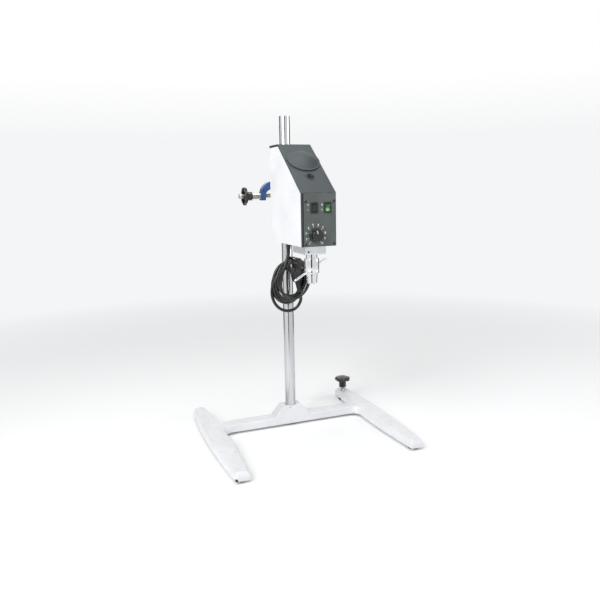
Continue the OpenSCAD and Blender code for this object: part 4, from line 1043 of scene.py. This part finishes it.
def letter_mark(word, x, z, size):
    thick = 0.06
    clear_selection()
    bpy.ops.object.text_add()
    words = bpy.context.object
    words.data.body = word
    words.data.size = size * MM
    words.data.align_x, words.data.align_y = "CENTER", "CENTER"
    words.data.extrude = thick * MM
    words.data.offset = 0.16 * MM
    words.data.resolution_u = 4
    choose(words)
    bpy.ops.object.convert(target="MESH")
    words = bpy.context.object
    words.matrix_world = Matrix.Translation(at(x, FRONT_Y - thick, z)) @ UPRIGHT
    return fixed(words)


a = math.radians(108)
pointer = bar_mark("dial_pointer", *round_dial(7.2, a), a, 6.6, 1.5, PLATE_Y - 14.62, 0.34)
fit(pointer, "dial_pointer", PRINT, "white_paint", "dial")

marks = []
for number in range(1, 11):
    a = math.radians(231 - 31.4 * (number - 1))
    marks.append(letter_mark(str(number), *round_dial(20.6, a), 6.0))
    marks.append(bar_mark("tick", *round_dial(16.6, a), a, 2.2, 0.8))
for word, right, z in (("0", 7.0, 535.5), ("I", 6.7, 525.9)):
    marks.append(letter_mark(word, HEAD_X + right, z, 5.2))
for left, z in ((22.0, 536.8), (22.0, 534.8), (22.4, 526.5)):
    marks.append(bar_mark("range", HEAD_X - left, z, 0, 3.0, 0.8))
fit(joined("plate_marks", *marks), "plate_marks", PRINT, "white_paint", "head")


def crossed_screw():
    """A low domed screw head with a cross cut into it, and its shank."""
    screw = grown("plate_screw", [
        (0, -7.5), (1.4, -7.5), (1.4, 0), (2.8, 0), (2.75, 0.5), (2.2, 1.0), (1.2, 1.18), (0, 1.2),
    ], 32)
    slots = []
    for turn in (0, math.pi / 2):
        clear_selection()
        bpy.ops.mesh.primitive_cube_add(size=MM, location=(0, 0, 1.2 * MM))
        slot = bpy.context.object
        turned = slot.matrix_world @ Matrix.Rotation(turn, 4, "Z")
        slot.matrix_world = turned @ Matrix.Diagonal((3.4, 0.62, 1.5, 1))
        slots.append(slot)
    cross = joined("cross", *slots)
    modified(screw, "BOOLEAN", object=cross, use_self=True)
    bpy.data.objects.remove(cross)
    return smooth(screw, 30)


model_screw = crossed_screw()
plate_heads = []
for u in (-27.4, 31.6):
    for z in (460, 542.5):
        screw = another(model_screw, "plate_screw")
        place = at(HEAD_X + u, FRONT_Y, z)
        plate_heads.append(turn_and_place(screw, place, (0, -1, 0), 0.4 + u + z))
bpy.data.objects.remove(model_screw)
plate_heads = joined("plate_screws_finished", *plate_heads)
finished(plate_heads, "black_plastic", "head", "plate_screws")

# ---- Cord, plug, tie and gland ----


def lay_cord():
    curve = bpy.data.curves.new("mains_cord", "CURVE")
    curve.dimensions = "3D"
    curve.bevel_depth = CORD_D / 2 * MM
    curve.bevel_resolution = 4
    curve.use_fill_caps = True
    spline = curve.splines.new("POLY")
    spline.points.add(len(cord_line) - 1)
    for point, place in zip(spline.points, cord_line):
        point.co = (*at(*place), 1)
    cord = bpy.data.objects.new("mains_cord", curve)
    bpy.context.scene.collection.objects.link(cord)
    curve.materials.append(JACKET)
    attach(cord, "head")
    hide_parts("cord_lead", "cord_coil")
    return cord


def make_plug():
    """A two-pin plug: face, waisted grip with ribs, a ribbed sleeve round the cord, and pins."""
    length = float(np.linalg.norm(PLUG_BACK - PLUG_FACE))
    section = [(0, 0.4), (12.5, 0.4), (13.2, 0), (16.3, 0), (17, 0.7), (17, 5.6), (16.2, 7.6),
               (14.2, 11.5), (12.6, 15.2), (12, 17)]
    for i in range(4):
        z = 18.4 + 3 * i
        section += [(12, z), (11.3, z + 0.5), (11.3, z + 1.2), (12, z + 1.7)]
    section += [(12, 30.6), (11.2, 32.8), (9.4, 34.6), (8, 35.8), (6.6, 36.6)]
    for i in range(6):
        z = 37.4 + 3.6 * i
        r = 6.0 - 0.2 * i
        section += [(r, z), (r, z + 2.2), (r - 1.1, z + 2.5), (r - 1.1, z + 3.3)]
    section += [(4.5, length - 1.2), (3.7, length), (0, length)]
    body = smooth(grown("mains_plug_finished", section, sides=56), 30)
    pin = grown("pin", [(0, 0.4), (2.4, 0.4), (2.4, -15.4), (1.9, -16.5), (0, -17)], sides=24)
    smooth(pin, 30)
    pins = []
    for side in (-9.5, 9.5):
        pins.append(turn_and_place(another(pin, "pin"), Vector((side * MM, 0, 0))))
    bpy.data.objects.remove(pin)
    axis = Vector(PLUG_BACK - PLUG_FACE).normalized()
    lean = Matrix.Rotation(math.acos(axis.z), 4, "Y")
    turned = Matrix.Rotation(math.atan2(axis.y, axis.x), 4, "Z") @ lean
    for part in (body, *pins):
        part.matrix_world = Matrix.Translation(at(*PLUG_FACE)) @ turned
        fixed(part)
    fit(joined("plug_pins", *pins), "plug_pins", FINISHES["zinc"], "zinc", "head")
    return finished(body, "dull_plastic", "head", "mains_plug")


def make_tie():
    """A strap drawn round the turns at the top of the coil."""
    width, wall, clear = 12, 1.5, 3.7
    top = np.array([0, 20.0])  # the middle of the coil's upper bend
    a = math.radians(90 + 12)
    along = np.array([-math.sin(a), math.cos(a)])
    outwards = np.array([math.cos(a), math.sin(a)])
    local = to_coil(cord_line)
    off = local[:, :2] - top
    here = (np.abs(off @ along) < 7) & (off @ outwards > 5)
    reach = off[here] @ outwards
    depth = local[here, 2]
    low_r, high_r = reach.min() - clear, reach.max() + clear
    low_n, high_n = depth.min() - clear, depth.max() + clear
    clear_selection()
    bpy.ops.mesh.primitive_cube_add(size=MM)
    strap = bpy.context.object
    edit(strap)
    size = (width, high_r - low_r, high_n - low_n)
    bpy.ops.transform.resize(value=size, center_override=(0, 0, 0))
    pick(strap, "FACE", lambda face: abs(face.normal.x) > 0.9)
    bpy.ops.mesh.delete(type="FACE")
    pick(strap, "EDGE", lambda edge: abs((edge.verts[0].co - edge.verts[1].co).x) > 5 * MM)
    bpy.ops.mesh.bevel(offset=8 * MM, segments=6)
    end_edit()
    modified(strap, "SOLIDIFY", thickness=wall * MM, offset=1)
    smooth(soften(strap, 0.4), 40)
    middle = (*(top + outwards * (low_r + high_r) / 2), (low_n + high_n) / 2)
    x_way = from_coil([[*along, 0]])[0] - COIL_MIDDLE
    y_way = from_coil([[*outwards, 0]])[0] - COIL_MIDDLE
    z_way = np.cross(x_way, y_way)
    turned = Matrix((-Vector(x_way), y_way, -Vector(z_way))).transposed().to_4x4()
    strap.matrix_world = Matrix.Translation(at(*from_coil([middle])[0])) @ turned
    return finished(fixed(strap), "dull_plastic", "head", "cord_tie")


def make_gland():
    """The tapered, ribbed strain relief under the head, with its flange and the nut inside."""
    section = [(3.6, 438)]
    for i in range(5):
        z = 438 + 3 * i
        r = 4.7 + 0.42 * i
        section += [(r, z), (r + 0.15, z + 1.9), (r - 0.8, z + 2.2), (r - 0.8, z + 2.8)]
    section += [(6.6, 453), (8.4, 453.2), (8.6, 453.6), (8.6, 455), (5.5, 455), (5.5, 458),
                (8.8, 458), (8.8, 462), (3.6, 462)]
    gland = smooth(grown("cord_gland_finished", section, sides=40, ring=True), 30)
    return finished(turn_and_place(gland, at(-30, -92, 0)), "dull_plastic", "head", "cord_gland")


cord = lay_cord()
plug = make_plug()
tie = make_tie()
make_gland()

# ---- Last, nothing left selected ----

clear_selection()
